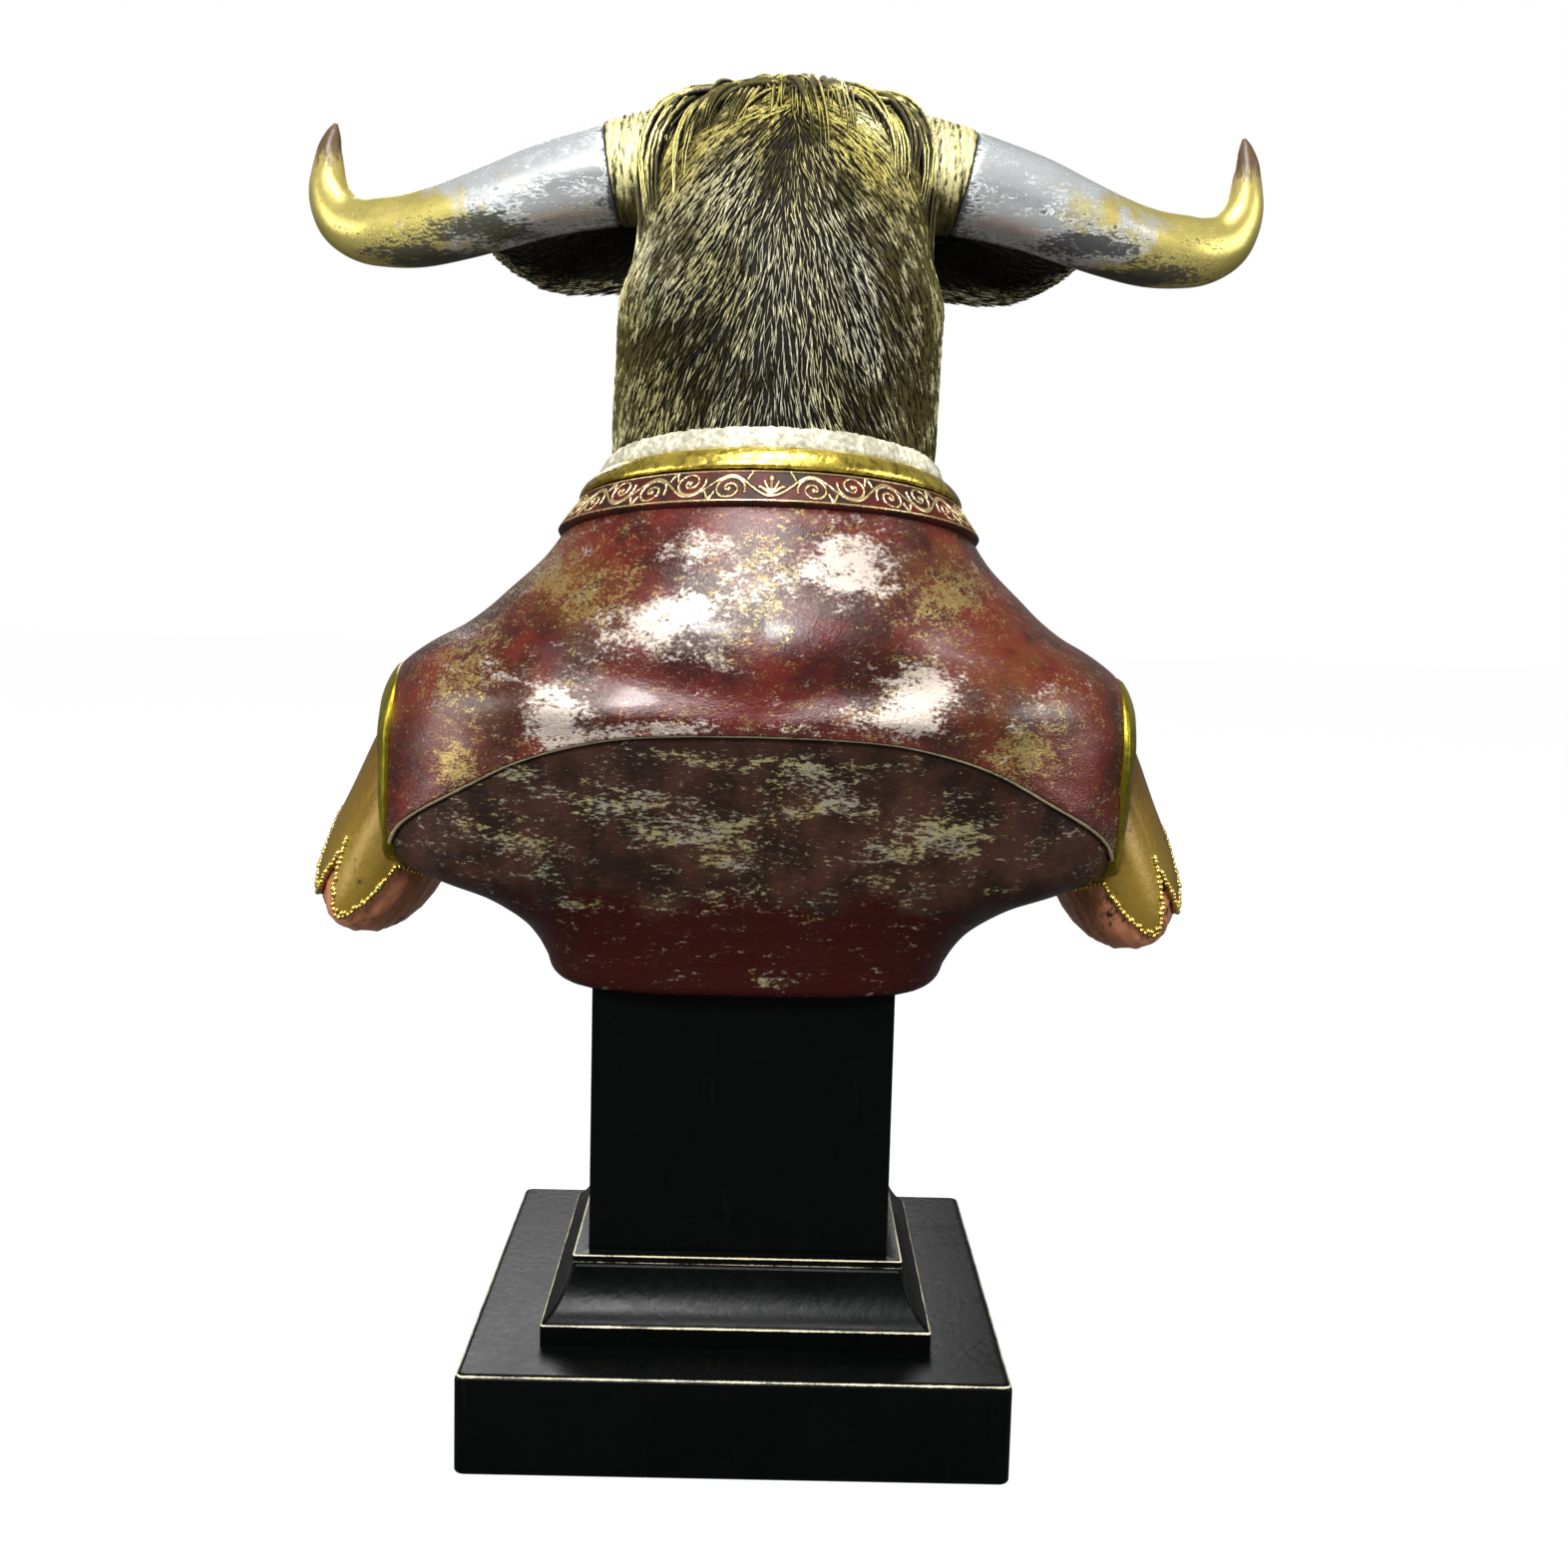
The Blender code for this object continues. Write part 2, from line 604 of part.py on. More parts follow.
def block(name, side, bottom, top, rounding, finish):
    """A square block with softened edges."""
    mesh = bpy.data.meshes.new(name)
    work = bmesh.new()
    bmesh.ops.create_cube(work, size=1.0)
    bmesh.ops.scale(work, vec=(side, side, top - bottom), verts=work.verts)
    bmesh.ops.translate(work, vec=(0, 0, (bottom + top) / 2), verts=work.verts)
    work.to_mesh(mesh)
    work.free()
    mesh.materials.append(finish)
    obj = bpy.data.objects.new(name, mesh)
    bpy.context.scene.collection.objects.link(obj)
    soften = obj.modifiers.new("Softened edges", "BEVEL")
    soften.width = rounding
    soften.segments = 2
    return obj


def foot_profile():
    """Half widths and heights of the column from its foot up: fascia, hollow, fillet, ledge and shaft."""
    outer, inner = FOOT_SIDE / 2, LEDGE_SIDE / 2
    shaft = COLUMN_SIDE / 2
    foot = SLAB_HEIGHT + JOINT_GAP
    low, high = SLAB_HEIGHT + FOOT_FASCIA, SLAB_HEIGHT + FOOT_HEIGHT - LEDGE_HEIGHT
    points = [(outer, foot), (outer, low)]
    for i in range(1, FOOT_STEPS):
        angle = math.pi / 2 * i / FOOT_STEPS
        hollow = outer - (outer - inner) * math.sin(angle)
        straight = outer + (inner - outer) * i / FOOT_STEPS
        rise = low + (high - low) * (1 - math.cos(angle))
        level = low + (high - low) * i / FOOT_STEPS
        points.append(((hollow + straight) / 2, (rise + level) / 2))
    points += [(inner - 0.0008, high), (inner, high + 0.0006), (inner, SLAB_HEIGHT + FOOT_HEIGHT)]
    points += [(shaft, SLAB_HEIGHT + FOOT_HEIGHT), (shaft, SEAT_HEIGHT - JOINT_GAP)]
    return points


def column(finish):
    """A square shaft on a moulded foot, as square rings up the profile."""
    work = bmesh.new()
    rings = []
    for half, height in foot_profile():
        corners = ((half, half), (-half, half), (-half, -half), (half, -half))
        rings.append([work.verts.new((x, y, height)) for x, y in corners])
    for ring, above in zip(rings, rings[1:]):
        for j in range(4):
            k = (j + 1) % 4
            work.faces.new((ring[j], ring[k], above[k], above[j]))
    work.faces.new(rings[0])
    work.faces.new(rings[-1])
    bmesh.ops.recalc_face_normals(work, faces=work.faces)
    uprights = [
        e for e in work.edges
        if abs(e.verts[0].co.x) == abs(e.verts[0].co.y) and e.verts[0].co.z != e.verts[1].co.z
    ]
    bmesh.ops.bevel(work, geom=uprights, offset=COLUMN_ROUNDING, segments=2, affect="EDGES", profile=0.5)
    mesh = bpy.data.meshes.new("plinth_column")
    work.to_mesh(mesh)
    work.free()
    mesh.materials.append(finish)
    obj = bpy.data.objects.new("plinth_column", mesh)
    bpy.context.scene.collection.objects.link(obj)
    return obj


def build():
    clear_scene()
    black = material("Plinth black", PLINTH_BLACK, 0.32, 0.0)
    resin = material("Coat red and old gold", COAT_RED, 0.4, 0.2)
    silver = material("Horn silver", HORN_SILVER, 0.3, 0.8)
    block("plinth_slab", SLAB_SIDE, 0.0, SLAB_HEIGHT, SLAB_ROUNDING, black)
    column(black)
    bust(resin)
    horn("left_horn", np.array, 0.0, silver)
    horn("right_horn", mirrored, RIGHT_HORN_RISE, silver)


build()
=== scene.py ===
"""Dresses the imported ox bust: painted coat, gilt collar, carved fur, horns and lacquered plinth, camera and
light.

The forms are worked out again here, finely, from the same numbers as the solids. They are carved
millimetres, which place() brings to the model's metres. A turn is measured round the upright axis from the
ox's back.
"""

import logging
import math
from dataclasses import dataclass, field
from enum import Enum
from typing import Any, Callable, Sequence

import bpy
import numpy as np
from mathutils import Matrix, Vector


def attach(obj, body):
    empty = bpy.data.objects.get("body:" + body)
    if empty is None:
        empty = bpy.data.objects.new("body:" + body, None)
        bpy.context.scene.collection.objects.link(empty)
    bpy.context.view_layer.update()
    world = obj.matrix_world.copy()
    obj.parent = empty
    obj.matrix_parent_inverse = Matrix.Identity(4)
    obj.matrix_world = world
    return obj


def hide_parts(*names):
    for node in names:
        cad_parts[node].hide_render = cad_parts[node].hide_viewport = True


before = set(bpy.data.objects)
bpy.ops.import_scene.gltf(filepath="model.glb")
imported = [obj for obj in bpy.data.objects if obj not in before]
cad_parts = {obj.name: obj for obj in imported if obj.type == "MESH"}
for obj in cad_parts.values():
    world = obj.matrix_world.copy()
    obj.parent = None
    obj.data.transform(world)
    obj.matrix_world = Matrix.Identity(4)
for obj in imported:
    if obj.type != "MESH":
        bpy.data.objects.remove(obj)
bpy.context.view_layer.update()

LOG = logging.getLogger("ox_bust")
Array = np.ndarray
Curve = tuple[Sequence[float], Sequence[float]]
Colour = tuple[float, float, float]

FLOOR_OF_BUST = 170.0
SEAT_HEIGHT = 0.170
LEAN = math.radians(1.78)
JOINT_GAP = 0.3


class Side(Enum):
    """The two sides of the bust, by the way that X is turned."""

    LEFT = 1.0
    RIGHT = -1.0


class Slot(Enum):
    """The record's material slots."""

    BLACK = "plinth_black"
    RESIN = "painted_resin"
    HORN = "horn_silver"


def place(points: Array) -> Array:
    """Brings carved millimetres to metres: drops the bust's floor onto the column and shears it to its
    lean.

    Args:
        points: Carved points, with x, y and z last.

    Returns:
        The same points in metres.
    """
    moved = np.array(points, float)
    moved[..., 2] -= FLOOR_OF_BUST
    moved[..., 0] -= math.tan(LEAN) * moved[..., 2]
    moved *= 0.001
    moved[..., 2] += SEAT_HEIGHT
    return moved


def curve_through(at: Array, xs: Sequence[float], ys: Sequence[float]) -> Array:
    """Reads a smooth curve through given points: piecewise cubic, with flat tangents at turning points.

    Args:
        at: Where to read it.
        xs: The points' places, rising.
        ys: The points' values.

    Returns:
        The values.
    """
    at, xs, ys = (np.asarray(v, float) for v in (at, xs, ys))
    slopes = np.diff(ys) / np.diff(xs)
    inner = np.where(slopes[1:] * slopes[:-1] > 0, (slopes[1:] + slopes[:-1]) / 2, 0.0)
    limit = 3 * np.minimum(np.abs(slopes[1:]), np.abs(slopes[:-1]))
    tangents = np.concatenate([slopes[:1], np.clip(inner, -limit, limit), slopes[-1:]])
    i = np.clip(np.searchsorted(xs, at, side="right") - 1, 0, len(xs) - 2)
    step = xs[i + 1] - xs[i]
    t = np.clip((at - xs[i]) / step, 0, 1)
    rising = ys[i] * (1 + 2 * t) * (1 - t) ** 2 + ys[i + 1] * t * t * (3 - 2 * t)
    return rising + step * (tangents[i] * t * (1 - t) ** 2 - tangents[i + 1] * t * t * (1 - t))


def through_sections(at: Array, sections: Array) -> Array:
    """Reads a table of sections at fractional rows, each column as a smooth curve.

    Args:
        at: Row numbers, of any shape.
        sections: The table, one section a row.

    Returns:
        The columns' values, last axis over the columns.
    """
    rows = np.arange(len(sections))
    return np.stack([curve_through(at, rows, column) for column in np.asarray(sections, float).T], axis=-1)


def unit(vectors: Array) -> Array:
    """Vectors of length one along the last axis."""
    return vectors / np.maximum(np.linalg.norm(vectors, axis=-1, keepdims=True), 1e-9)


def smooth_step(values: Array, low: float, high: float) -> Array:
    """Rises from 0 at low to 1 at high with level ends."""
    t = np.clip((values - low) / (high - low), 0, 1)
    return t * t * (3 - 2 * t)


def full_turn(count: int) -> Array:
    """Even turns round a circle."""
    return np.arange(count) * 2 * math.pi / count


def ripple(points: Array, pitch: float, seed: int) -> Array:
    """A smooth pseudo-random wave between about -1 and 1: the mean of five sines in scattered directions.

    Args:
        points: Where to read it.
        pitch: About the distance between two crests.
        seed: Which of the waves.

    Returns:
        One value a point.
    """
    rng = np.random.default_rng(seed)
    ways = unit(rng.normal(size=(5, 3))) * rng.uniform(0.7, 1.5, (5, 1)) * 2 * math.pi / pitch
    return np.sin(points @ ways.T + rng.uniform(0, 6.28, 5)).sum(axis=-1) / 3.2


@dataclass
class Surface:
    """Points, faces and point marks of closed skins, built with whole arrays.

    Attributes:
        points: Carved points, or metres once placed.
        faces: Arrays of faces, each with its own count of corners.
        marks: Named values, one a point, which the finishes read as attributes.
    """

    points: Array
    faces: list[Array]
    marks: dict[str, Array] = field(default_factory=dict)

    @classmethod
    def from_rings(
        cls, rings: Array, marks: dict[str, Array] | None = None, loop: bool = False
    ) -> "Surface":
        """Skins rings: quads between neighbours, and a fan at each end or, in a loop, from the last to the
        first.

        Args:
            rings: Points by ring and place round it.
            marks: Values of the same shape.
            loop: Whether the last ring joins the first.

        Returns:
            The closed skin.
        """
        rows, columns = rings.shape[:2]
        here = np.arange(rows * columns).reshape(rows, columns)
        beside = np.roll(here, -1, axis=1)
        flat = {name: np.broadcast_to(mark, (rows, columns)) for name, mark in (marks or {}).items()}
        if loop:
            quads = np.stack(
                [here, beside, np.roll(beside, -1, axis=0), np.roll(here, -1, axis=0)], axis=-1
            )
            return cls(
                rings.reshape(-1, 3), [quads.reshape(-1, 4)], {n: m.reshape(-1) for n, m in flat.items()}
            )
        quads = np.stack([here[:-1], beside[:-1], beside[1:], here[1:]], axis=-1).reshape(-1, 4)
        first = np.stack([beside[0], here[0], np.full(columns, rows * columns)], axis=-1)
        last = np.stack([here[-1], beside[-1], np.full(columns, rows * columns + 1)], axis=-1)
        ends = rings[[0, -1]].mean(axis=1)
        joined = {n: np.concatenate([m.reshape(-1), m[[0, -1]].mean(axis=1)]) for n, m in flat.items()}
        return cls(
            np.concatenate([rings.reshape(-1, 3), ends]), [quads, np.concatenate([first, last])], joined
        )

    @classmethod
    def from_strands(cls, sections: Array, marks: dict[str, Array]) -> "Surface":
        """Skins many small tapers at once.

        Args:
            sections: Points by strand, place along it and corner of its section.
            marks: Values of the same shape.

        Returns:
            All the tapers, each closed at both ends.
        """
        here = np.arange(sections[..., 0].size).reshape(sections.shape[:3])
        beside = np.roll(here, -1, axis=2)
        quads = np.stack([here[:, :-1], beside[:, :-1], beside[:, 1:], here[:, 1:]], axis=-1).reshape(-1, 4)
        flat = {n: np.broadcast_to(m, here.shape).reshape(-1) for n, m in marks.items()}
        return cls(sections.reshape(-1, 3), [quads, here[:, 0, ::-1], here[:, -1]], flat)

    def repeated(self, middles: Array, sizes: Array) -> "Surface":
        """Sets a copy of a small form at each middle.

        Args:
            middles: Where the copies go.
            sizes: How large each is.

        Returns:
            All the copies in one surface.
        """
        count, each = len(middles), len(self.points)
        points = middles[:, None] + sizes[:, None, None] * self.points[None]
        shift = (np.arange(count) * each)[:, None, None]
        faces = [(block[None] + shift).reshape(-1, block.shape[1]) for block in self.faces]
        marks = {n: np.tile(m, count) for n, m in self.marks.items()}
        return Surface(points.reshape(-1, 3), faces, marks)

    def with_others(self, *others: "Surface") -> "Surface":
        """This surface and others in one."""
        parts = (self, *others)
        starts = np.cumsum([0] + [len(p.points) for p in parts[:-1]])
        faces = [block + start for p, start in zip(parts, starts) for block in p.faces]
        marks = {n: np.concatenate([p.marks[n] for p in parts]) for n in self.marks}
        return Surface(np.concatenate([p.points for p in parts]), faces, marks)

    def on_side(self, side: Side) -> "Surface":
        """The same surface on one side of the bust."""
        return Surface(self.points * (side.value, 1, 1), list(self.faces), dict(self.marks))

    def volume(self) -> float:
        """The volume that the faces close in, from the cones between them and the middle."""
        total = 0.0
        points = self.points - self.points.mean(axis=0)
        for block in self.faces:
            for k in range(1, block.shape[1] - 1):
                a, b, c = points[block[:, 0]], points[block[:, k]], points[block[:, k + 1]]
                total += float((a * np.cross(b, c)).sum()) / 6
        return total

    def outward(self) -> "Surface":
        """The same surface with its faces turned outwards."""
        turned = [block[:, ::-1] for block in self.faces]
        return Surface(self.points, turned, self.marks) if self.volume() < 0 else self

    def placed(self) -> "Surface":
        """The same carved surface in metres."""
        return Surface(place(self.points), self.faces, self.marks)

    def make(
        self, name: str, finish: bpy.types.Material, slot: Slot, stands_for: Sequence[str] = (),
        sharp: float = 40.0
    ) -> bpy.types.Object:
        """Makes the placed surface an object that faces outwards and rides on the part's one body.

        Args:
            name: The piece's name.
            finish: Its material.
            slot: The record's slot; not used.
            stands_for: CAD nodes that it is shown instead of.
            sharp: The angle in degrees past which an edge is sharp.

        Returns:
            The object.
        """
        faces = self.outward().faces
        corners = np.concatenate([block.reshape(-1) for block in faces]).astype(np.int32)
        sizes = np.concatenate([np.full(len(block), block.shape[1]) for block in faces])
        mesh = bpy.data.meshes.new(name)
        mesh.vertices.add(len(self.points))
        mesh.vertices.foreach_set("co", self.points.astype(np.float32).reshape(-1))
        mesh.loops.add(len(corners))
        mesh.loops.foreach_set("vertex_index", corners)
        mesh.polygons.add(len(sizes))
        mesh.polygons.foreach_set("loop_start", (np.cumsum(sizes) - sizes).astype(np.int32))
        mesh.update(calc_edges=True)
        for mark, values in self.marks.items():
            layer = mesh.attributes.new(mark, "FLOAT", "POINT")
            layer.data.foreach_set("value", values.astype(np.float32))
        mesh.shade_smooth()
        mesh.set_sharp_from_angle(angle=math.radians(sharp))
        mesh.materials.append(finish)
        obj = bpy.data.objects.new(name, mesh)
        bpy.context.scene.collection.objects.link(obj)
        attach(obj, "root")
        if stands_for:
            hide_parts(*stands_for)
        LOG.info("%s: %d triangles", name, int((sizes - 2).sum()))
        return obj


def grid_normals(rings: Array) -> Array:
    """Which way a wrapped grid of points faces at each point: across its rings and along them, made square.

    Args:
        rings: Points by ring and place round it.

    Returns:
        Unit normals, away from each ring's middle.
    """
    round_it = np.roll(rings, -1, axis=1) - np.roll(rings, 1, axis=1)
    normals = unit(np.cross(round_it, np.gradient(rings, axis=0)))
    outward = rings - rings.mean(axis=1, keepdims=True)
    return normals * np.where((normals * outward).sum() < 0, -1.0, 1.0)


def tapers(
    paths: Array, ups: Array, width: Array, height: Array, crest: Array, tone: Array, sides: int = 3
) -> Surface:
    """Carries a small ridge along many paths: two feet sunk in the ground and a crest, or a diamond of four
    corners.

    Args:
        paths: Points by strand and place along it.
        ups: Which way each point's crest stands.
        width: Full width at each place.
        height: How high the crest stands at each place.
        crest: The mark that the crest carries, which fades to 0 at the feet.
        tone: One value a strand.
        sides: 3 for a ridge, 4 for a round lock.

    Returns:
        All the ridges.
    """
    along = np.gradient(paths, axis=1)
    side = unit(np.cross(ups, along))
    up = unit(np.cross(along, side))
    ridge, diamond = ((-0.5, -0.45), (0, 1), (0.5, -0.45)), ((-0.5, 0.1), (0, 1), (0.5, 0.1), (0, -0.8))
    shape = ridge if sides == 3 else diamond
    marks = (0.0, 1.0, 0.0) if sides == 3 else (0.35, 1.0, 0.35, 0.0)
    width, height = (np.broadcast_to(v, paths.shape[:2]) for v in (width, height))
    sections = np.stack(
        [paths + (a * width)[..., None] * side + (b * height)[..., None] * up for a, b in shape], axis=2
    )
    crests = np.broadcast_to(crest, paths.shape[:2])[..., None] * np.array(marks)
    return Surface.from_strands(sections, {"crest": crests, "tone": tone[:, None, None]})


# Finishes


@dataclass
class Wiring:
    """Adds nodes to one node tree and wires them."""

    tree: bpy.types.NodeTree

    def feed(self, socket: bpy.types.NodeSocket, value: Any) -> None:
        """Links a socket's output to this input, or sets a plain value on it."""
        if isinstance(value, bpy.types.NodeSocket):
            self.tree.links.new(value, socket)
        elif isinstance(value, tuple) and socket.type == "RGBA":
            socket.default_value = (*value[:3], 1.0)
        else:
            socket.default_value = value

    def add(self, kind: str, values: dict[str | int, Any] | None = None, **settings: Any) -> bpy.types.Node:
        """Adds a node.

        Args:
            kind: The node's type, without its ShaderNode prefix.
            values: What goes into its inputs, by name or number.
            **settings: Its properties.

        Returns:
            The node.
        """
        node = self.tree.nodes.new("ShaderNode" + kind)
        for name, value in settings.items():
            setattr(node, name, value)
        for key, value in (values or {}).items():
            self.feed(node.inputs[key], value)
        return node

    def maths(self, operation: str, a: Any, b: Any = 0.0) -> bpy.types.NodeSocket:
        """A Math node's result."""
        return self.add("Math", {0: a, 1: b}, operation=operation).outputs[0]

    def mix(self, share: Any, a: Any, b: Any) -> bpy.types.NodeSocket:
        """Colour a blended with colour b by a share."""
        node = self.add("Mix", data_type="RGBA")
        for socket, value in zip((node.inputs[0], node.inputs[6], node.inputs[7]), (share, a, b)):
            self.feed(socket, value)
        return node.outputs[2]

    def between(self, share: Any, a: Any, b: Any) -> bpy.types.NodeSocket:
        """Number a blended with number b by a share."""
        node = self.add("Mix", data_type="FLOAT")
        for socket, value in zip((node.inputs[0], node.inputs[2], node.inputs[3]), (share, a, b)):
            self.feed(socket, value)
        return node.outputs[0]

    def step(
        self, value: Any, low: Any, high: Any, to_low: float = 0.0, to_high: float = 1.0
    ) -> bpy.types.NodeSocket:
        """A smooth rise of a value from one level to another."""
        values = {"Value": value, "From Min": low, "From Max": high, "To Min": to_low, "To Max": to_high}
        return self.add("MapRange", values, interpolation_type="SMOOTHSTEP").outputs[0]

    def noise(
        self, vector: Any, scale: Any, detail: float = 4.0, rough: float = 0.6, bend: float = 0.0
    ) -> bpy.types.NodeSocket:
        """Cloudy noise about 0.5."""
        values = {
            "Vector": vector, "Scale": scale, "Detail": detail, "Roughness": rough, "Distortion": bend
        }
        return self.add("TexNoise", values).outputs[0]

    def mark(self, name: str) -> bpy.types.NodeSocket:
        """A piece's own mark."""
        return self.add("Attribute", attribute_name=name).outputs["Fac"]

    def where(self) -> bpy.types.NodeSocket:
        """The place on the piece, in metres."""
        return self.add("TexCoord").outputs["Object"]

    def stretched(
        self, vector: Any, scale: tuple[float, float, float], turn: float = 0.0
    ) -> bpy.types.NodeSocket:
        """A vector turned about Y by degrees and scaled on each axis."""
        values = {"Vector": vector, "Scale": scale, "Rotation": (0.0, math.radians(turn), 0.0)}
        return self.add("Mapping", values).outputs[0]

    def group(self, tree: bpy.types.NodeTree, values: dict[str, Any]) -> bpy.types.Node:
        """Places a node group with its own values."""
        node = self.tree.nodes.new("ShaderNodeGroup")
        node.node_tree = tree
        for key, value in values.items():
            self.feed(node.inputs[key], value)
        return node

    def bumped(self, height: Any, depth: float) -> bpy.types.NodeSocket:
        """A normal from a height, with the depth in metres."""
        return self.add("Bump", {"Height": height, "Distance": depth, "Strength": 1.0}).outputs[0]


def new_group(
    name: str, inputs: dict[str, float | None], outputs: Sequence[str]
) -> tuple[Wiring, dict, dict]:
    """Starts a node group.

    Args:
        name: The group's name.
        inputs: Its inputs with their first values. None is for a vector.
        outputs: Its outputs, all numbers.

    Returns:
        The wiring, the inputs' sockets and the outputs' sockets, by name.
    """
    tree = bpy.data.node_groups.new(name, "ShaderNodeTree")
    for key, value in inputs.items():
        kind = "NodeSocketVector" if value is None else "NodeSocketFloat"
        made = tree.interface.new_socket(key, in_out="INPUT", socket_type=kind)
        if value is not None:
            made.default_value = value
    for key in outputs:
        tree.interface.new_socket(key, in_out="OUTPUT", socket_type="NodeSocketFloat")
    start, end = tree.nodes.new("NodeGroupInput"), tree.nodes.new("NodeGroupOutput")
    return Wiring(tree), {k: start.outputs[k] for k in inputs}, {k: end.inputs[k] for k in outputs}


def dry_brush_group() -> bpy.types.NodeTree:
    """Dry brush: paint that catches on the high grain. Fine and broad noise pass a threshold set by the
    coverage."""
    work, given, out = new_group(
        "Dry brush", {"Vector": None, "Coverage": 0.5, "Grain": 400.0, "Softness": 0.2, "Breadth": 0.46},
        ("Mask",)
    )
    fine = work.noise(given["Vector"], given["Grain"], 7.0, 0.72)
    broad = work.noise(given["Vector"], work.maths("MULTIPLY", given["Grain"], 0.2), 4.0, 0.6, 0.4)
    blend = work.between(given["Breadth"], fine, broad)
    level = work.add("MapRange", {"Value": blend, "From Min": 0.34, "From Max": 0.66}).outputs[0]
    height = work.maths("SUBTRACT", work.maths("ADD", level, given["Coverage"]), 1.0)
    low = work.maths("MULTIPLY", given["Softness"], -1.0)
    work.feed(out["Mask"], work.step(height, low, given["Softness"]))
    return work.tree


def paint_skin_group() -> bpy.types.NodeTree:
    """Paint skin: the faint lumps, brush drag and pits of hand-brushed paint, as a height and an uneven
    gloss."""
    work, given, out = new_group("Paint skin", {"Vector": None, "Grain": 500.0}, ("Height", "Gloss"))
    lumps = work.noise(given["Vector"], given["Grain"], 5.0, 0.65)
    broad = work.noise(given["Vector"], work.maths("MULTIPLY", given["Grain"], 0.12), 3.0, 0.55)
    work.feed(out["Height"], work.maths("ADD", lumps, work.maths("MULTIPLY", broad, 1.4)))
    work.feed(out["Gloss"], work.between(0.5, lumps, broad))
    return work.tree


def worn_edge_group() -> bpy.types.NodeTree:
    """Worn edge: where paint is rubbed off an arris. The edge mark is broken up by noise along it."""
    work, given, out = new_group("Worn edge", {"Vector": None, "Edge": 0.0, "Amount": 0.5}, ("Mask",))
    patches = work.noise(given["Vector"], 70.0, 4.0, 0.65)
    fine = work.noise(given["Vector"], 900.0, 4.0, 0.7)
    worn = work.maths("ADD", work.maths("MULTIPLY", patches, 0.7), work.maths("MULTIPLY", fine, 0.5))
    reach = work.maths("SUBTRACT", work.maths("ADD", worn, given["Amount"]), 1.0)
    level = work.maths("SUBTRACT", work.maths("ADD", given["Edge"], reach), 0.78)
    work.feed(out["Mask"], work.step(level, -0.06, 0.1))
    return work.tree


@dataclass
class Finishes:
    """The node groups that several finishes share, and the materials made so far."""

    dry_brush: bpy.types.NodeTree = field(default_factory=dry_brush_group)
    paint_skin: bpy.types.NodeTree = field(default_factory=paint_skin_group)
    worn_edge: bpy.types.NodeTree = field(default_factory=worn_edge_group)
    made: dict[Any, bpy.types.Material] = field(default_factory=dict)

    def of(self, finish: "Finish") -> bpy.types.Material:
        """The material of a finish, made once."""
        if finish not in self.made:
            self.made[finish] = finish.material(self)
        return self.made[finish]

    def brushed(
        self, work: Wiring, vector: Any, coverage: Any, grain: float, soft: float, breadth: float = 0.46
    ) -> bpy.types.NodeSocket:
        """A dry-brushed mask."""
        values = {
            "Vector": vector, "Coverage": coverage, "Grain": grain, "Softness": soft, "Breadth": breadth
        }
        return work.group(self.dry_brush, values).outputs["Mask"]


@dataclass(frozen=True)
class Finish:
    """A painted finish: one Principled shader, whose inputs the kinds below work out."""

    name: str

    def material(self, shop: Finishes) -> bpy.types.Material:
        """Makes the material.

        Args:
            shop: The shared node groups.

        Returns:
            The material.
        """
        made = bpy.data.materials.new(self.name)
        made.use_nodes = True
        shader = made.node_tree.nodes["Principled BSDF"]
        work = Wiring(made.node_tree)
        for key, value in self.inputs(work, shop).items():
            work.feed(shader.inputs[key], value)
        return made

    def inputs(self, work: Wiring, shop: Finishes) -> dict[str, Any]:
        """What goes into the shader. Each kind of finish gives its own."""
        raise NotImplementedError


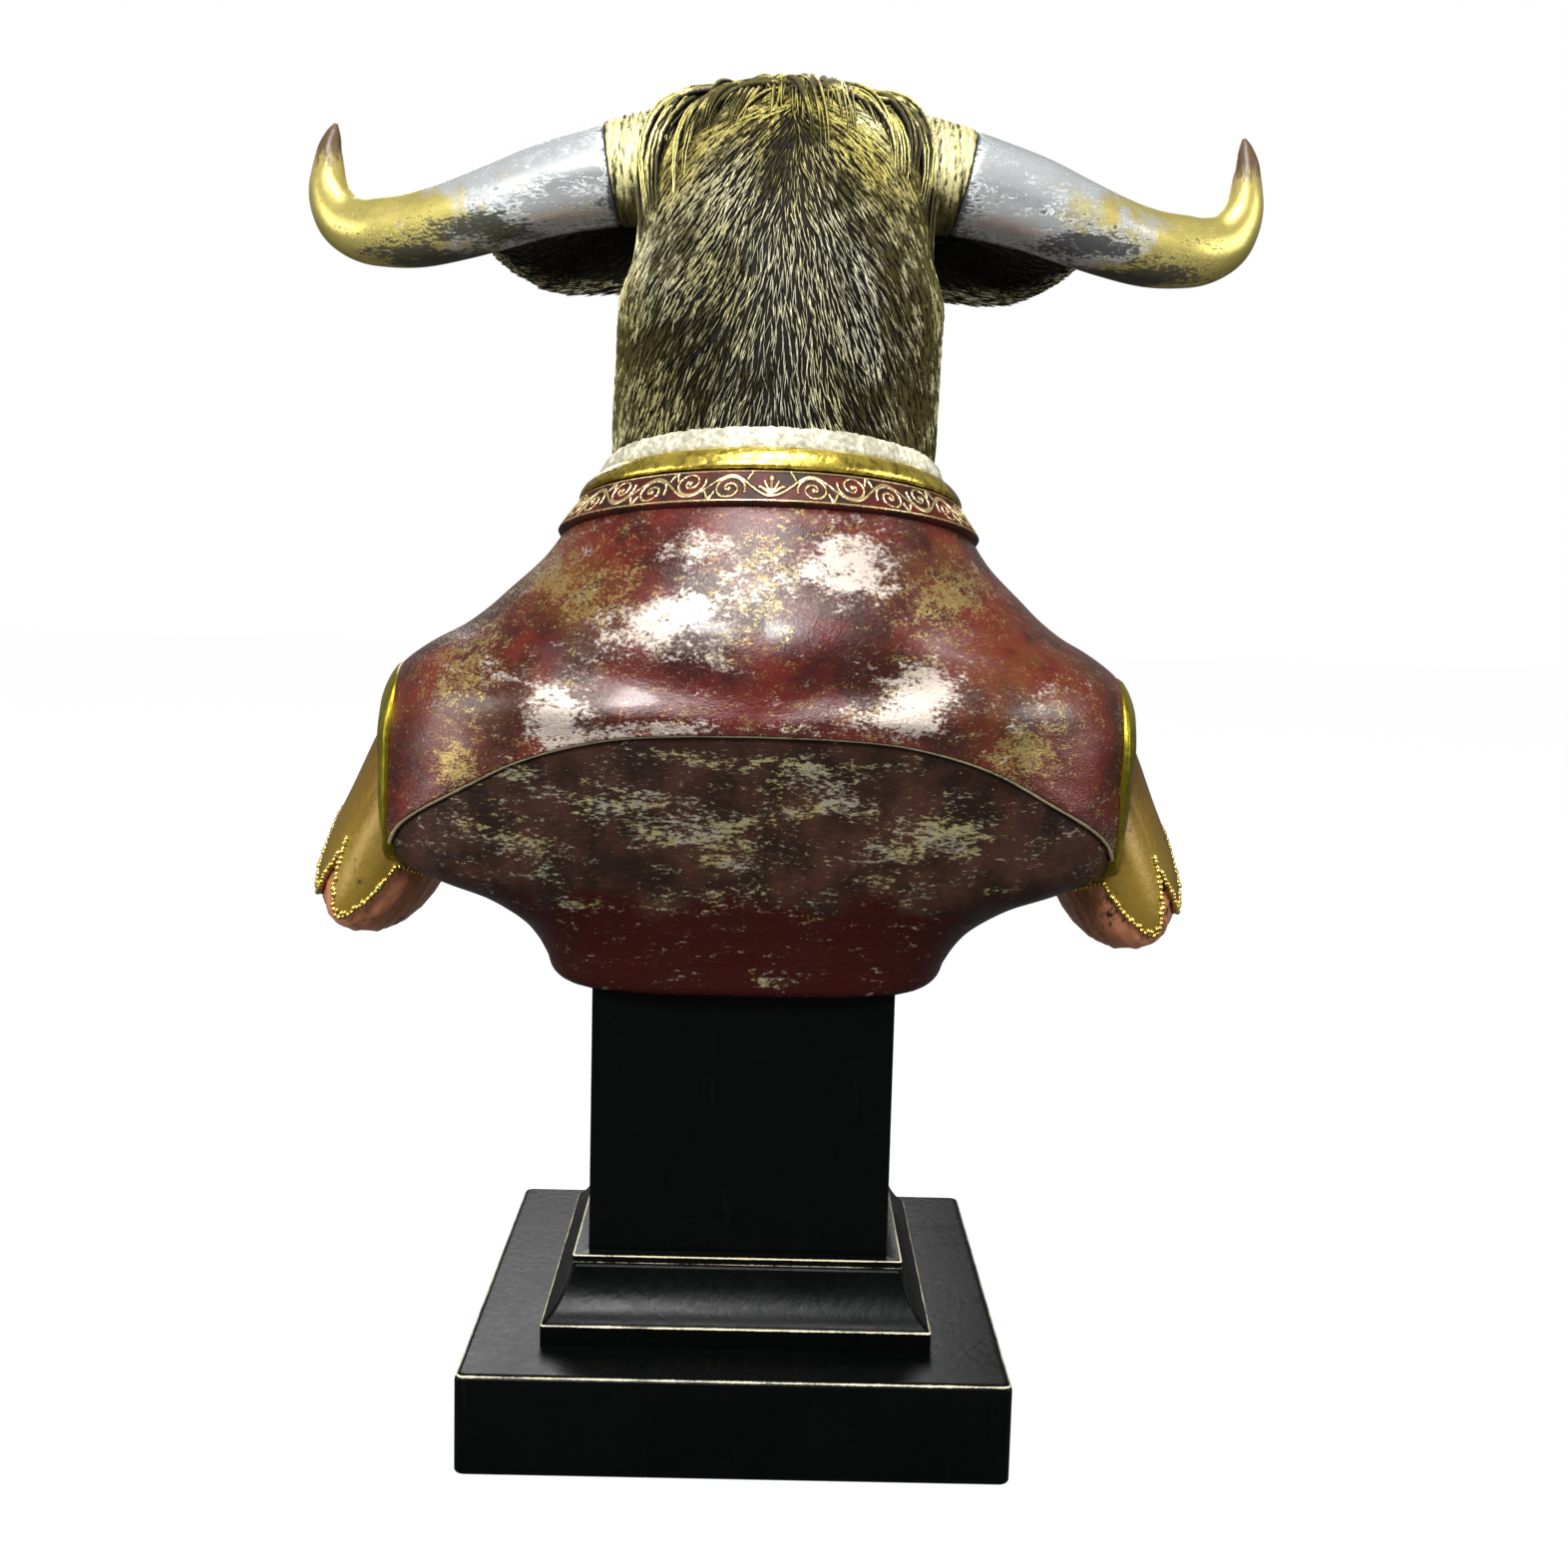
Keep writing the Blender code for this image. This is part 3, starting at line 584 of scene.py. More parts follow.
@dataclass(frozen=True)
class CoatPaint(Finish):
    """Maroon lacquer, stained with ochre and dry-brushed with silver and pale gold where the marks say; the
    silver is partly a painted highlight.
    """

    name: str = "coat maroon"
    deep: Colour = (0.030, 0.0040, 0.0025)
    red: Colour = (0.100, 0.009, 0.005)
    ochre: Colour = (0.105, 0.036, 0.005)
    silver: Colour = (0.62, 0.54, 0.46)
    gold: Colour = (0.50, 0.38, 0.13)
    rim: Colour = (0.66, 0.56, 0.32)

    def inputs(self, work: Wiring, shop: Finishes) -> dict[str, Any]:
        """Stains under two dry-brushed metals, the silver partly a painted highlight, and a rubbed hem over a
        painted shade along its lip.
        """
        where = work.where()
        drag = work.stretched(where, (1.0, 1.0, 1.7), 18.0)
        cloud = work.step(work.noise(where, 38.0, 4.0, 0.6), 0.38, 0.66)
        colour = work.mix(cloud, self.deep, self.red)
        stain = work.maths(
            "MULTIPLY", work.mark("stain"), work.step(work.noise(where, 90.0, 5.0, 0.65), 0.3, 0.6)
        )
        colour = work.mix(stain, colour, self.ochre)
        # Dry-brushed silver, partly a painted highlight where the upper back and the hem's rise catch the
        # light.
        silver = shop.brushed(work, drag, work.mark("silver"), 560.0, 0.22, 0.42)
        colour = work.mix(work.maths("MULTIPLY", silver, 0.88), colour, self.silver)
        speck = shop.brushed(work, drag, work.maths("ADD", work.mark("fleck"), 0.15), 820.0, 0.12, 0.36)
        colour = work.mix(work.maths("MULTIPLY", speck, 0.72), colour, self.gold)
        edge = work.group(
            shop.worn_edge, {"Vector": where, "Edge": work.mark("edge"), "Amount": 0.4}
        ).outputs[0]
        # Painted shade: where the edge mark is high, on the hem's lip and the front strip's rims, the paint
        # goes near black under the rubbed rim.
        colour = work.mix(work.step(work.mark("edge"), 0.2, 0.8, 0.0, 0.8), colour, (0.012, 0.005, 0.003))
        colour = work.mix(edge, colour, self.rim)
        metal = work.maths(
            "MAXIMUM", work.maths("MULTIPLY", silver, 0.55), work.maths("MULTIPLY", speck, 0.7)
        )
        skin = work.group(shop.paint_skin, {"Vector": drag, "Grain": 700.0})
        height = work.maths("ADD", skin.outputs["Height"], work.maths("MULTIPLY", silver, 0.5))
        rough = work.maths(
            "ADD", work.between(silver, 0.26, 0.36), work.step(skin.outputs["Gloss"], 0.4, 0.7, -0.06, 0.1)
        )
        return {
            "Base Color": colour, "Metallic": metal, "Roughness": rough,
            "Normal": work.bumped(height, 0.00022),
            "Coat Weight": 0.22, "Coat Roughness": 0.14,
        }


@dataclass(frozen=True)
class UndersidePaint(Finish):
    """Dark umber under the coat, running to deep red at the bottom, with pale dry-brushed drags along the
    hem."""

    name: str = "underside umber"
    dark: Colour = (0.012, 0.006, 0.004)
    brown: Colour = (0.042, 0.016, 0.010)
    red: Colour = (0.022, 0.0020, 0.0010)
    pale: Colour = (0.36, 0.34, 0.25)
    straw: Colour = (0.42, 0.38, 0.17)

    def inputs(self, work: Wiring, shop: Finishes) -> dict[str, Any]:
        """Umber clouds, red low down, and drags of pale paint by the brush mark."""
        where = work.where()
        drag = work.stretched(where, (0.6, 0.6, 1.5))
        colour = work.mix(work.step(work.noise(where, 60.0, 5.0, 0.6), 0.35, 0.65), self.dark, self.brown)
        low = work.maths("ADD", work.mark("low"), work.step(work.noise(where, 45.0), 0.3, 0.7, -0.25, 0.25))
        colour = work.mix(work.step(low, 0.35, 0.75), colour, self.red)
        brushed = shop.brushed(work, drag, work.mark("brush"), 600.0, 0.16, 0.36)
        tint = work.mix(work.step(work.noise(where, 75.0, 4.0, 0.6), 0.42, 0.6), self.pale, self.straw)
        colour = work.mix(work.maths("MULTIPLY", brushed, 0.8), colour, tint)
        skin = work.group(shop.paint_skin, {"Vector": drag, "Grain": 560.0})
        return {
            "Base Color": colour, "Metallic": work.maths("MULTIPLY", brushed, 0.5),
            "Roughness": work.step(skin.outputs["Gloss"], 0.35, 0.7, 0.3, 0.5),
            "Normal": work.bumped(skin.outputs["Height"], 0.0003), "Specular IOR Level": 0.16,
        }


@dataclass(frozen=True)
class FurPaint(Finish):
    """Antique gold fur: black-olive in the cuts, olive gold on the slopes, pale silver gold rubbed over the
    crests. The light mark spreads this rub wider as painted highlight, or holds it back as painted shade."""

    name: str = "fur antique gold"
    deep: Colour = (0.004, 0.0035, 0.0015)
    olive: Colour = (0.085, 0.070, 0.020)
    pale: Colour = (0.95, 0.93, 0.74)
    gold: Colour = (0.80, 0.69, 0.20)
    bare: Colour = (0.055, 0.042, 0.018)

    def inputs(self, work: Wiring, shop: Finishes) -> dict[str, Any]:
        """The crest mark picks the layer, broken by broad patches and by each strand's own tone. The light
        mark is painted light: it widens the pale rub where the fur is lit and narrows it where it is shaded.
        """
        where = work.where()
        crest, tone = work.mark("crest"), work.mark("tone")
        patch = work.step(work.noise(where, 60.0, 5.0, 0.65), 0.36, 0.66)
        grain = work.noise(work.stretched(where, (1.0, 1.0, 0.3)), 1200.0, 4.0, 0.7)
        level = work.maths("ADD", crest, work.maths("MULTIPLY", work.maths("SUBTRACT", grain, 0.5), 0.9))
        colour = work.mix(work.step(level, 0.42, 1.05), self.deep, self.olive)
        reach = work.maths("ADD", work.maths("MULTIPLY", tone, 0.5), work.maths("MULTIPLY", patch, 0.42))
        # Painted light: the light mark spreads the pale rub where the fur is lit and holds it back where it
        # is shaded.
        reach = work.maths("ADD", reach, work.mark("light"))
        rubbed = work.maths("MULTIPLY", work.step(level, 0.62, 0.95), work.step(reach, 0.42, 0.86))
        warm = work.mix(work.mark("warmth"), self.pale, self.gold)
        colour = work.mix(rubbed, colour, warm)
        colour = work.mix(work.maths("MULTIPLY", work.mark("bare"), 0.8), colour, self.bare)
        return {
            "Base Color": colour, "Metallic": work.maths("MULTIPLY", rubbed, 0.5),
            "Roughness": work.between(rubbed, 0.62, 0.33),
            "Specular IOR Level": work.between(rubbed, 0.14, 0.4),
            "Normal": work.bumped(grain, 0.00015),
        }


@dataclass(frozen=True)
class HornPaint(Finish):
    """Distressed silver that runs into antique gold and a dark tip, over dark scratches along the horn,
    heavier on its underside as painted shade.
    """

    name: str = "horn silver and gold"
    silver: Colour = (0.70, 0.73, 0.73)
    gold: Colour = (0.55, 0.46, 0.13)
    umber: Colour = (0.080, 0.046, 0.020)
    dark: Colour = (0.022, 0.024, 0.025)

    def inputs(self, work: Wiring, shop: Finishes) -> dict[str, Any]:
        """Colour by the way along, and scratches as noise drawn out along the horn, their mark also darkening
        the underside as painted shade.
        """
        where = work.where()
        drag = work.stretched(where, (0.42, 1.4, 1.4))
        along = work.mark("along")
        shift = work.maths("ADD", along, work.step(work.noise(where, 60.0, 4.0, 0.6), 0.3, 0.7, -0.1, 0.1))
        golden = work.step(shift, 0.17, 0.34)
        colour = work.mix(golden, self.silver, self.gold)
        scratch = shop.brushed(work, drag, work.mark("scratch"), 760.0, 0.16, 0.3)
        colour = work.mix(work.maths("MULTIPLY", scratch, 0.92), colour, self.dark)
        streak = work.noise(work.stretched(where, (1.6, 1.6, 0.25)), 420.0, 4.0, 0.65)
        tip = work.maths("ADD", along, work.maths("MULTIPLY", streak, 0.3))
        brown = work.step(tip, 0.82, 1.0)
        colour = work.mix(brown, colour, self.umber)
        skin = work.group(shop.paint_skin, {"Vector": drag, "Grain": 420.0})
        metal = work.maths("MAXIMUM", work.maths("MULTIPLY", scratch, 0.5), brown)
        metal = work.maths("SUBTRACT", 0.74, metal)
        rough = work.maths(
            "ADD", work.maths("MULTIPLY", golden, 0.12), work.maths("MULTIPLY", scratch, 0.2)
        )
        return {
            "Base Color": colour, "Metallic": metal,
            "Roughness": work.maths("ADD", work.step(skin.outputs["Gloss"], 0.35, 0.7, 0.2, 0.3), rough),
            "Normal": work.bumped(work.maths("SUBTRACT", skin.outputs["Height"], scratch), 0.00008),
        }


@dataclass(frozen=True)
class Gilt(Finish):
    """Metallic gold paint, duller and darker where the gilt mark is low: low on each bead and on the collar
    band's lower face as painted shade, and towards the buttons' bases and the piping's edges.
    """

    name: str = "gilt"
    bright: Colour = (0.78, 0.60, 0.10)
    dull: Colour = (0.30, 0.20, 0.03)
    rough: float = 0.24
    grain: float = 260.0

    def inputs(self, work: Wiring, shop: Finishes) -> dict[str, Any]:
        """Two golds by the gilt mark, with brushed-on lumps; on the beads and the gold band the mark is
        painted light, lighter on top.
        """
        where = work.where()
        skin = work.group(shop.paint_skin, {"Vector": where, "Grain": self.grain})
        height = work.maths("ADD", work.mark("gilt"), work.step(skin.outputs["Gloss"], 0.3, 0.7, -0.3, 0.3))
        return {
            "Base Color": work.mix(work.step(height, 0.2, 0.8), self.dull, self.bright), "Metallic": 0.9,
            "Roughness": work.step(skin.outputs["Gloss"], 0.35, 0.7, self.rough - 0.05, self.rough + 0.12),
            "Normal": work.bumped(skin.outputs["Height"], 0.00025),
        }


@dataclass(frozen=True)
class ScrollPaint(Finish):
    """The collar's maroon ground with its raised scrolls gilded."""

    name: str = "scroll band"
    ground: Colour = (0.075, 0.009, 0.006)
    dirt: Colour = (0.018, 0.008, 0.005)
    gold: Colour = (0.80, 0.62, 0.30)

    def inputs(self, work: Wiring, shop: Finishes) -> dict[str, Any]:
        """Gold where the relief is high, broken by grain, with dirt in broad patches over the ground."""
        where = work.where()
        grain = work.noise(where, 1100.0, 4.0, 0.7)
        level = work.maths(
            "ADD", work.mark("gilt"), work.maths("MULTIPLY", work.maths("SUBTRACT", grain, 0.5), 0.9)
        )
        gold = work.step(level, 0.44, 0.7)
        patch = work.step(work.noise(where, 120.0, 4.0, 0.6), 0.35, 0.65)
        colour = work.mix(patch, self.dirt, self.ground)
        colour = work.mix(work.maths("MULTIPLY", gold, work.between(patch, 0.75, 1.0)), colour, self.gold)
        return {
            "Base Color": colour, "Metallic": work.maths("MULTIPLY", gold, 0.8),
            "Roughness": work.between(gold, 0.45, 0.27), "Normal": work.bumped(grain, 0.0001),
            "Specular IOR Level": 0.2,
        }


@dataclass(frozen=True)
class PlasterWhite(Finish):
    """Cream paint over the rough inner collar, with grey and olive dirt rubbed into its grain."""

    name: str = "collar cream"
    cream: Colour = (0.58, 0.56, 0.43)
    grime: Colour = (0.20, 0.19, 0.13)

    def inputs(self, work: Wiring, shop: Finishes) -> dict[str, Any]:
        """Cream broken by dry-brushed grime and a coarse, plaster-like skin."""
        where = work.where()
        cover = work.maths("ADD", work.mark("grime"), 0.34)
        grime = shop.brushed(work, where, cover, 520.0, 0.3)
        skin = work.group(shop.paint_skin, {"Vector": where, "Grain": 420.0})
        return {
            "Base Color": work.mix(work.maths("MULTIPLY", grime, 0.8), self.cream, self.grime),
            "Roughness": work.step(skin.outputs["Gloss"], 0.35, 0.7, 0.42, 0.6),
            "Normal": work.bumped(skin.outputs["Height"], 0.0006),
        }


@dataclass(frozen=True)
class SatinPaint(Finish):
    """A smooth metallic satin of two colours by a mark, for the sleeves and their lining."""

    name: str
    high: Colour
    low: Colour
    mark: str = "fall"
    metallic: float = 0.6
    rough: float = 0.34
    soot: Colour = (0.02, 0.012, 0.008)
    sooty: float = 0.12

    def inputs(self, work: Wiring, shop: Finishes) -> dict[str, Any]:
        """A gradient by the mark, with a little soot brushed over it."""
        where = work.where()
        skin = work.group(shop.paint_skin, {"Vector": where, "Grain": 380.0})
        share = work.maths(
            "ADD", work.mark(self.mark), work.step(skin.outputs["Gloss"], 0.3, 0.7, -0.2, 0.2)
        )
        soot = shop.brushed(work, where, self.sooty, 300.0, 0.2)
        return {
            "Base Color": work.mix(
                soot, work.mix(work.step(share, 0.0, 1.0), self.high, self.low), self.soot
            ),
            "Metallic": self.metallic,
            "Roughness": work.step(skin.outputs["Gloss"], 0.3, 0.7, self.rough - 0.06, self.rough + 0.1),
            "Normal": work.bumped(skin.outputs["Height"], 0.0002),
        }


@dataclass(frozen=True)
class PlinthLacquer(Finish):
    """Near-black lacquer, rubbed to cream and old gold along its arrises, with pale specks and faint painted
    streak highlights."""

    name: str = "plinth lacquer"
    black: Colour = (0.0008, 0.0011, 0.0011)
    worn: Colour = (0.60, 0.53, 0.36)
    amount: float = 0.37

    def inputs(self, work: Wiring, shop: Finishes) -> dict[str, Any]:
        """Worn edges from the edge mark, specks where a fine noise peaks, and gloss that wanders."""
        where = work.where()
        edge = work.group(
            shop.worn_edge, {"Vector": where, "Edge": work.mark("edge"), "Amount": self.amount}
        ).outputs[0]
        specks = work.step(work.noise(where, 300.0, 2.0, 0.5), 0.815, 0.83)
        # Painted highlight: faint upright streaks lighten the black, standing in for streaks of reflected
        # light.
        streak_highlights = work.noise(work.stretched(where, (1.0, 1.0, 0.12)), 160.0, 4.0, 0.6)
        pale = work.maths("MAXIMUM", edge, work.maths("MULTIPLY", specks, 0.7))
        colour = work.mix(work.step(streak_highlights, 0.6, 0.8, 0.0, 0.25), self.black, (0.008, 0.010, 0.010))
        skin = work.group(shop.paint_skin, {"Vector": where, "Grain": 240.0})
        return {
            "Base Color": work.mix(pale, colour, self.worn),
            "Roughness": work.maths(
                "ADD", work.step(skin.outputs["Gloss"], 0.3, 0.7, 0.22, 0.36),
                work.maths("MULTIPLY", pale, 0.2)
            ),
            "Normal": work.bumped(skin.outputs["Height"], 0.00012), "Specular IOR Level": 0.09,
        }


@dataclass(frozen=True)
class EyePaint(Finish):
    """A dark, wet-looking painted eye."""

    name: str = "eye black"

    def inputs(self, work: Wiring, shop: Finishes) -> dict[str, Any]:
        """Black-brown with a clear coat and a faint uneven gloss."""
        cloud = work.noise(work.where(), 300.0)
        return {
            "Base Color": work.mix(cloud, (0.004, 0.003, 0.002), (0.03, 0.015, 0.006)),
            "Roughness": work.step(cloud, 0.3, 0.7, 0.08, 0.16), "Coat Weight": 0.8,
        }


# Forms and pieces


@dataclass
class Plinth:
    """The slab and the column with its moulded foot, in metres."""

    slab_half: float = 0.100
    slab_top: float = 0.038
    slab_rounding: float = 0.0025
    foot_half: float = 0.07265
    fascia: float = 0.0073
    ledge_half: float = 0.06185
    foot_top: float = 0.0687
    ledge: float = 0.0032
    shaft_half: float = 0.0564
    shaft_top: float = 0.1697
    rounding: float = 0.0012

    def carried(self, profile: Array, rounding: float) -> Surface:
        """Carries a profile round a square with rounded corners: a quarter circle about each corner's
        centre, and straight sides between them whose steps crowd towards the corners.

        Args:
            profile: Rows of half width, height and edge mark, 1 on an arris.
            rounding: The radius of the corners.

        Returns:
            The block.
        """
        half, height, mark = profile.T
        angle = np.linspace(0, math.pi / 2, 7)
        share = (1 - np.cos(np.linspace(0, math.pi, 30)[1:-1])) / 2
        inner = (half - rounding)[:, None]
        x = np.concatenate([inner + rounding * np.cos(angle), inner * (1 - 2 * share)], axis=1)
        y = np.concatenate(
            [inner + rounding * np.sin(angle), np.broadcast_to(half[:, None], (len(half), len(share)))], 1
        )
        still = np.zeros((len(half), 4 * x.shape[1]))
        rings = np.stack(
            [
                np.concatenate([x, -y, -x, y], axis=1), np.concatenate([y, x, -y, -x], axis=1),
                height[:, None] + still,
            ],
            axis=-1,
        )
        return Surface.from_rings(rings, {"edge": np.clip(mark, 0, 1)[:, None] + still})

    def slab_profile(self) -> Array:
        """Up the slab's side with a quarter circle at each arris, then in over its top."""
        angle = np.linspace(0, math.pi / 2, 9)
        half, top, r = self.slab_half, self.slab_top, self.slab_rounding
        low = np.stack(
            [half - r + r * np.sin(angle), r - r * np.cos(angle), 0.3 * np.sin(2 * angle)], axis=1
        )
        high = np.stack(
            [half - r + r * np.cos(angle), top - r + r * np.sin(angle), np.sin(2 * angle) ** 5], axis=1
        )
        side = [(half, 0.006, 0), (half, 0.019, 0), (half, 0.031, 0)]
        flat = [(half - d, top, -1) for d in (0.0035, 0.006, 0.012, 0.03)]
        return np.concatenate([[(half - 0.02, 0, -1), (half - 0.004, 0, -1)], low, side, high, flat])

    def column_profile(self) -> Array:
        """Up the fascia, the hollow flare, the ledge and the shaft. The flare is the mean of a quarter
        circle and a straight line."""
        foot, low = self.slab_top + 0.0003, self.slab_top + self.fascia
        high = self.foot_top - self.ledge
        outer, inner, shaft = self.foot_half, self.ledge_half, self.shaft_half
        share = np.linspace(0, 1, 26)[1:-1]
        hollow = outer - (outer - inner) * np.sin(share * math.pi / 2)
        rise = low + (high - low) * (1 - np.cos(share * math.pi / 2))
        flare = np.stack(
            [(hollow + outer + (inner - outer) * share) / 2, (rise + low + (high - low) * share) / 2,
             0 * share], axis=1
        )
        return np.concatenate(
            [
                [(outer - 0.004, foot, -1), (outer, foot, 0.2), (outer, foot + 0.0015, 0),
                 (outer, low - 0.0012, 0)],
                [(outer, low - 0.0003, 0.75), (outer - 0.0002, low, 1.0),
                 (outer - 0.0011, low + 0.0006, 0.35)],
                flare[1:],
                [(inner - 0.0008, high, 0.0), (inner - 0.0002, high + 0.0003, 0.8),
                 (inner, high + 0.0006, 0.9)],
                [(inner, high + 0.0014, 0.1), (inner, self.foot_top - 0.0009, 0.1),
                 (inner, self.foot_top - 0.0002, 1)],
                [(inner - 0.0003, self.foot_top, 1.0), (inner - 0.0016, self.foot_top, 0.1)],
                [(shaft + 0.0008, self.foot_top, 0), (shaft, self.foot_top + 0.0002, 0), (shaft, 0.085, 0)],
                [(shaft, 0.12, 0), (shaft, 0.15, 0), (shaft, self.shaft_top, 0),
                 (shaft - 0.006, self.shaft_top, -1)],
            ]
        )

    def build(self, shop: Finishes) -> None:
        """Makes both blocks, which stand for their CAD nodes."""
        lacquer = shop.of(PlinthLacquer())
        slab = self.carried(self.slab_profile(), self.slab_rounding)
        slab.make("slab", lacquer, Slot.BLACK, ("plinth_slab",))
        column = self.carried(self.column_profile(), self.rounding)
        column.make("column", lacquer, Slot.BLACK, ("plinth_column",), 30.0)


@dataclass
class TrunkForm:
    """The trunk under the coat: rings round the upright axis whose width, depths and squareness change with
    height."""

    half_width: Curve = (
        (170, 172, 180, 186, 192, 198, 202, 206, 210, 214, 222, 236, 251, 262, 270, 277, 284, 288, 293, 297,
         301, 308,
         315, 328, 337, 348),
        (67, 72, 77, 81, 87, 97, 106, 119, 130, 137, 139, 141, 142, 143, 142.5, 141, 138, 135, 128.5, 122,
         114.5, 105,
         97.5, 84, 77.5, 71),
    )
    behind: Curve = (
        (170, 190, 210, 240, 262, 280, 300, 320, 335, 348), (66, 69, 73, 79, 83, 86, 84.5, 78, 71.5, 65)
    )
    in_front: Curve = (
        (170, 176, 190, 210, 230, 250, 270, 290, 310, 322, 340),
        (60, 63, 69, 77, 83, 87, 88, 87, 81.5, 76, 68)
    )
    squareness: Curve = ((170, 200, 230, 262, 290, 340), (5.0, 4.0, 3.5, 3.0, 2.4, 2.1))
    hem: Curve = (
        (0, 11, 21, 32, 42, 53, 65, 80, 90, 100, 112, 124, 180),
        (267.5, 267, 264.5, 256, 242.5, 229.5, 216, 206, 199, 190, 178, 173, 172),
    )
    # Broad folds: turn from the back, height, turn width, height width, rise
    folds: tuple[tuple[float, ...], ...] = (
        (24, 288, 26, 8, -2.4), (16, 307, 24, 10, 1.8), (24, 273, 26, 8, 1.4), (52, 262, 12, 18, -1.2),
        (158, 262, 14, 26, 1.6),
    )

    def points(self, turn: Array, height: Array, lift: Array | float) -> Array:
        """Points of the trunk: a superellipse round the axis at each height.

        Args:
            turn: The turn from the back.
            height: Carved heights.
            lift: How far off the trunk.

        Returns:
            Carved points.
        """
        half = curve_through(height, *self.half_width) + lift
        back, front = curve_through(height, *self.behind), curve_through(height, *self.in_front)
        depth = np.where(np.cos(turn) > 0, back, front) + lift
        power = curve_through(height, *self.squareness)
        reach = (np.abs(np.sin(turn)) ** power + np.abs(np.cos(turn)) ** power) ** (-1 / power)
        return np.stack(
            [half * reach * np.sin(turn), depth * reach * np.cos(turn), height + 0 * half], axis=-1
        )

    def fold_rise(self, turn: Array, height: Array) -> Array:
        """How far the folds lift the coat: slanting bells, the same on both sides."""
        side = np.degrees(np.abs(np.arctan2(np.sin(turn), np.cos(turn))))
        rise = np.zeros_like(height + side)
        for at, level, wide, tall, lift in self.folds:
            slope = height - level - (side - at) * 0.35
            rise += lift * np.exp(-(((side - at) / wide) ** 2) - (slope / tall) ** 2)
        return rise

    def hem_height(self, turn: Array) -> Array:
        """The height of the coat's lower edge."""
        return curve_through(np.degrees(np.abs(np.arctan2(np.sin(turn), np.cos(turn)))), *self.hem)

    def collar_height(self, turn: Array) -> Array:
        """The collar's lower edge, in a plane that is higher at the nape."""
        return 336.0 + 12.6 * np.cos(turn)


# Dabs of paint on the back: x, z in real millimetres, half width, half height, tilt in degrees, weight
# The silver dabs are dry-brushed silver and partly a painted highlight, set where the back catches the light.
SILVER_AND_HIGHLIGHT_DABS = (
    (19, 333, 14, 7, 0, 0.75), (29, 308, 25, 10, 20, 1.0), (-34, 328, 17, 14, 0, 1.0),
    (-60, 283, 17, 13, 20, 0.9),
    (67, 274, 12, 14, 0, 0.9), (39, 268, 25, 4, 8, 0.6), (-45, 273, 22, 5, 0, 0.4),
    (14, 296, 12, 5, 0, 0.35),
    (-8, 320, 14, 14, 0, 0.3), (-4, 271, 22, 4, 0, 0.25), (-102, 280, 20, 8, 30, 0.38),
    (94, 288, 16, 8, -25, 0.3),
)
GOLD_DABS = (
    (-8, 306, 5, 16, 0, 0.3), (68, 318, 24, 10, -25, 0.6), (105, 253, 10, 8, 0, 0.85),
    (-70, 318, 18, 10, 25, 0.55),
    (-98, 262, 14, 10, 0, 0.55), (100, 285, 14, 14, 0, 0.4), (-4, 330, 8, 8, 0, 0.15),
    (40, 322, 10, 6, 0, 0.4),
)
STAIN_DABS = (
    (68, 320, 24, 14, -30, 0.8), (-100, 290, 32, 26, 30, 0.55), (105, 272, 22, 20, 0, 0.5),
    (-62, 330, 20, 10, 20, 0.6)
)
BRUSH_DABS = (
    (80, 251, 12, 6, 0, 0.6), (46, 244, 14, 7, 0, 0.7), (19, 233, 22, 8, 0, 0.9),
    (-26, 248, 14, 9, 0, 0.75),
    (4, 221, 18, 5, 0, 0.7), (101, 232, 14, 8, -30, 0.35), (74, 227, 16, 6, -20, 0.4),
    (-56, 230, 20, 8, 15, 0.65),
    (-80, 233, 16, 8, 15, 0.4), (28, 260, 22, 3, 0, 0.5), (-14, 257, 24, 4, 0, 0.5),
    (61, 206, 20, 7, -15, 0.4),
    (19, 206, 22, 6, 0, 0.4), (-44, 212, 20, 5, 10, 0.35), (-8, 176, 7, 3, 0, 1.0),
)
# Painted highlight on the fur: the nape's middle, the poll and the horns' roots, where the light falls.
FUR_HIGHLIGHT_DABS = (
    (-14, 436, 20, 30, 0, 0.60), (18, 456, 18, 18, 0, 0.45), (-14, 410, 30, 12, 0, 0.45),
    (10, 424, 30, 10, 0, 0.30),
    (8, 380, 22, 14, 0, 0.30), (-24, 386, 14, 18, 0, 0.36), (-8, 360, 14, 10, 0, 0.3),
    (42, 492, 14, 16, 0, 0.5),
    (-40, 490, 14, 18, 0, 0.6), (0, 514, 60, 8, 0, 0.15), (-10, 498, 12, 6, 0, 0.5),
    (16, 486, 10, 5, 30, 0.35), (-46, 452, 10, 30, 0, 0.15), (44, 430, 10, 40, 0, 0.12),
)


def dabbed(points: Array, dabs: Sequence[tuple[float, ...]], front: float = 0.7) -> Array:
    """How thickly dabs cover points: the sum of turned bells in x and z, as seen from behind. The hidden
    front gets the same dabs, turned round.

    Args:
        points: Placed points, in metres.
        dabs: The dabs.
        front: How much of it the front gets.

    Returns:
        A value of 0 to 1 a point.
    """
    x, y, z = (points[..., i] * 1000 for i in range(3))
    x = np.where(y > 0, x, -x)
    cover = np.zeros_like(x)
    for at, level, wide, tall, tilt, weight in dabs:
        c, s = math.cos(math.radians(tilt)), math.sin(math.radians(tilt))
        dx, dz = x - at, z - level
        cover += weight * np.exp(-(((c * dx - s * dz) / wide) ** 2) - ((s * dx + c * dz) / tall) ** 2)
    away = 1 - smooth_step(y, -25, 15)
    return np.clip(cover, 0, 1) * (1 - away * (1 - front))


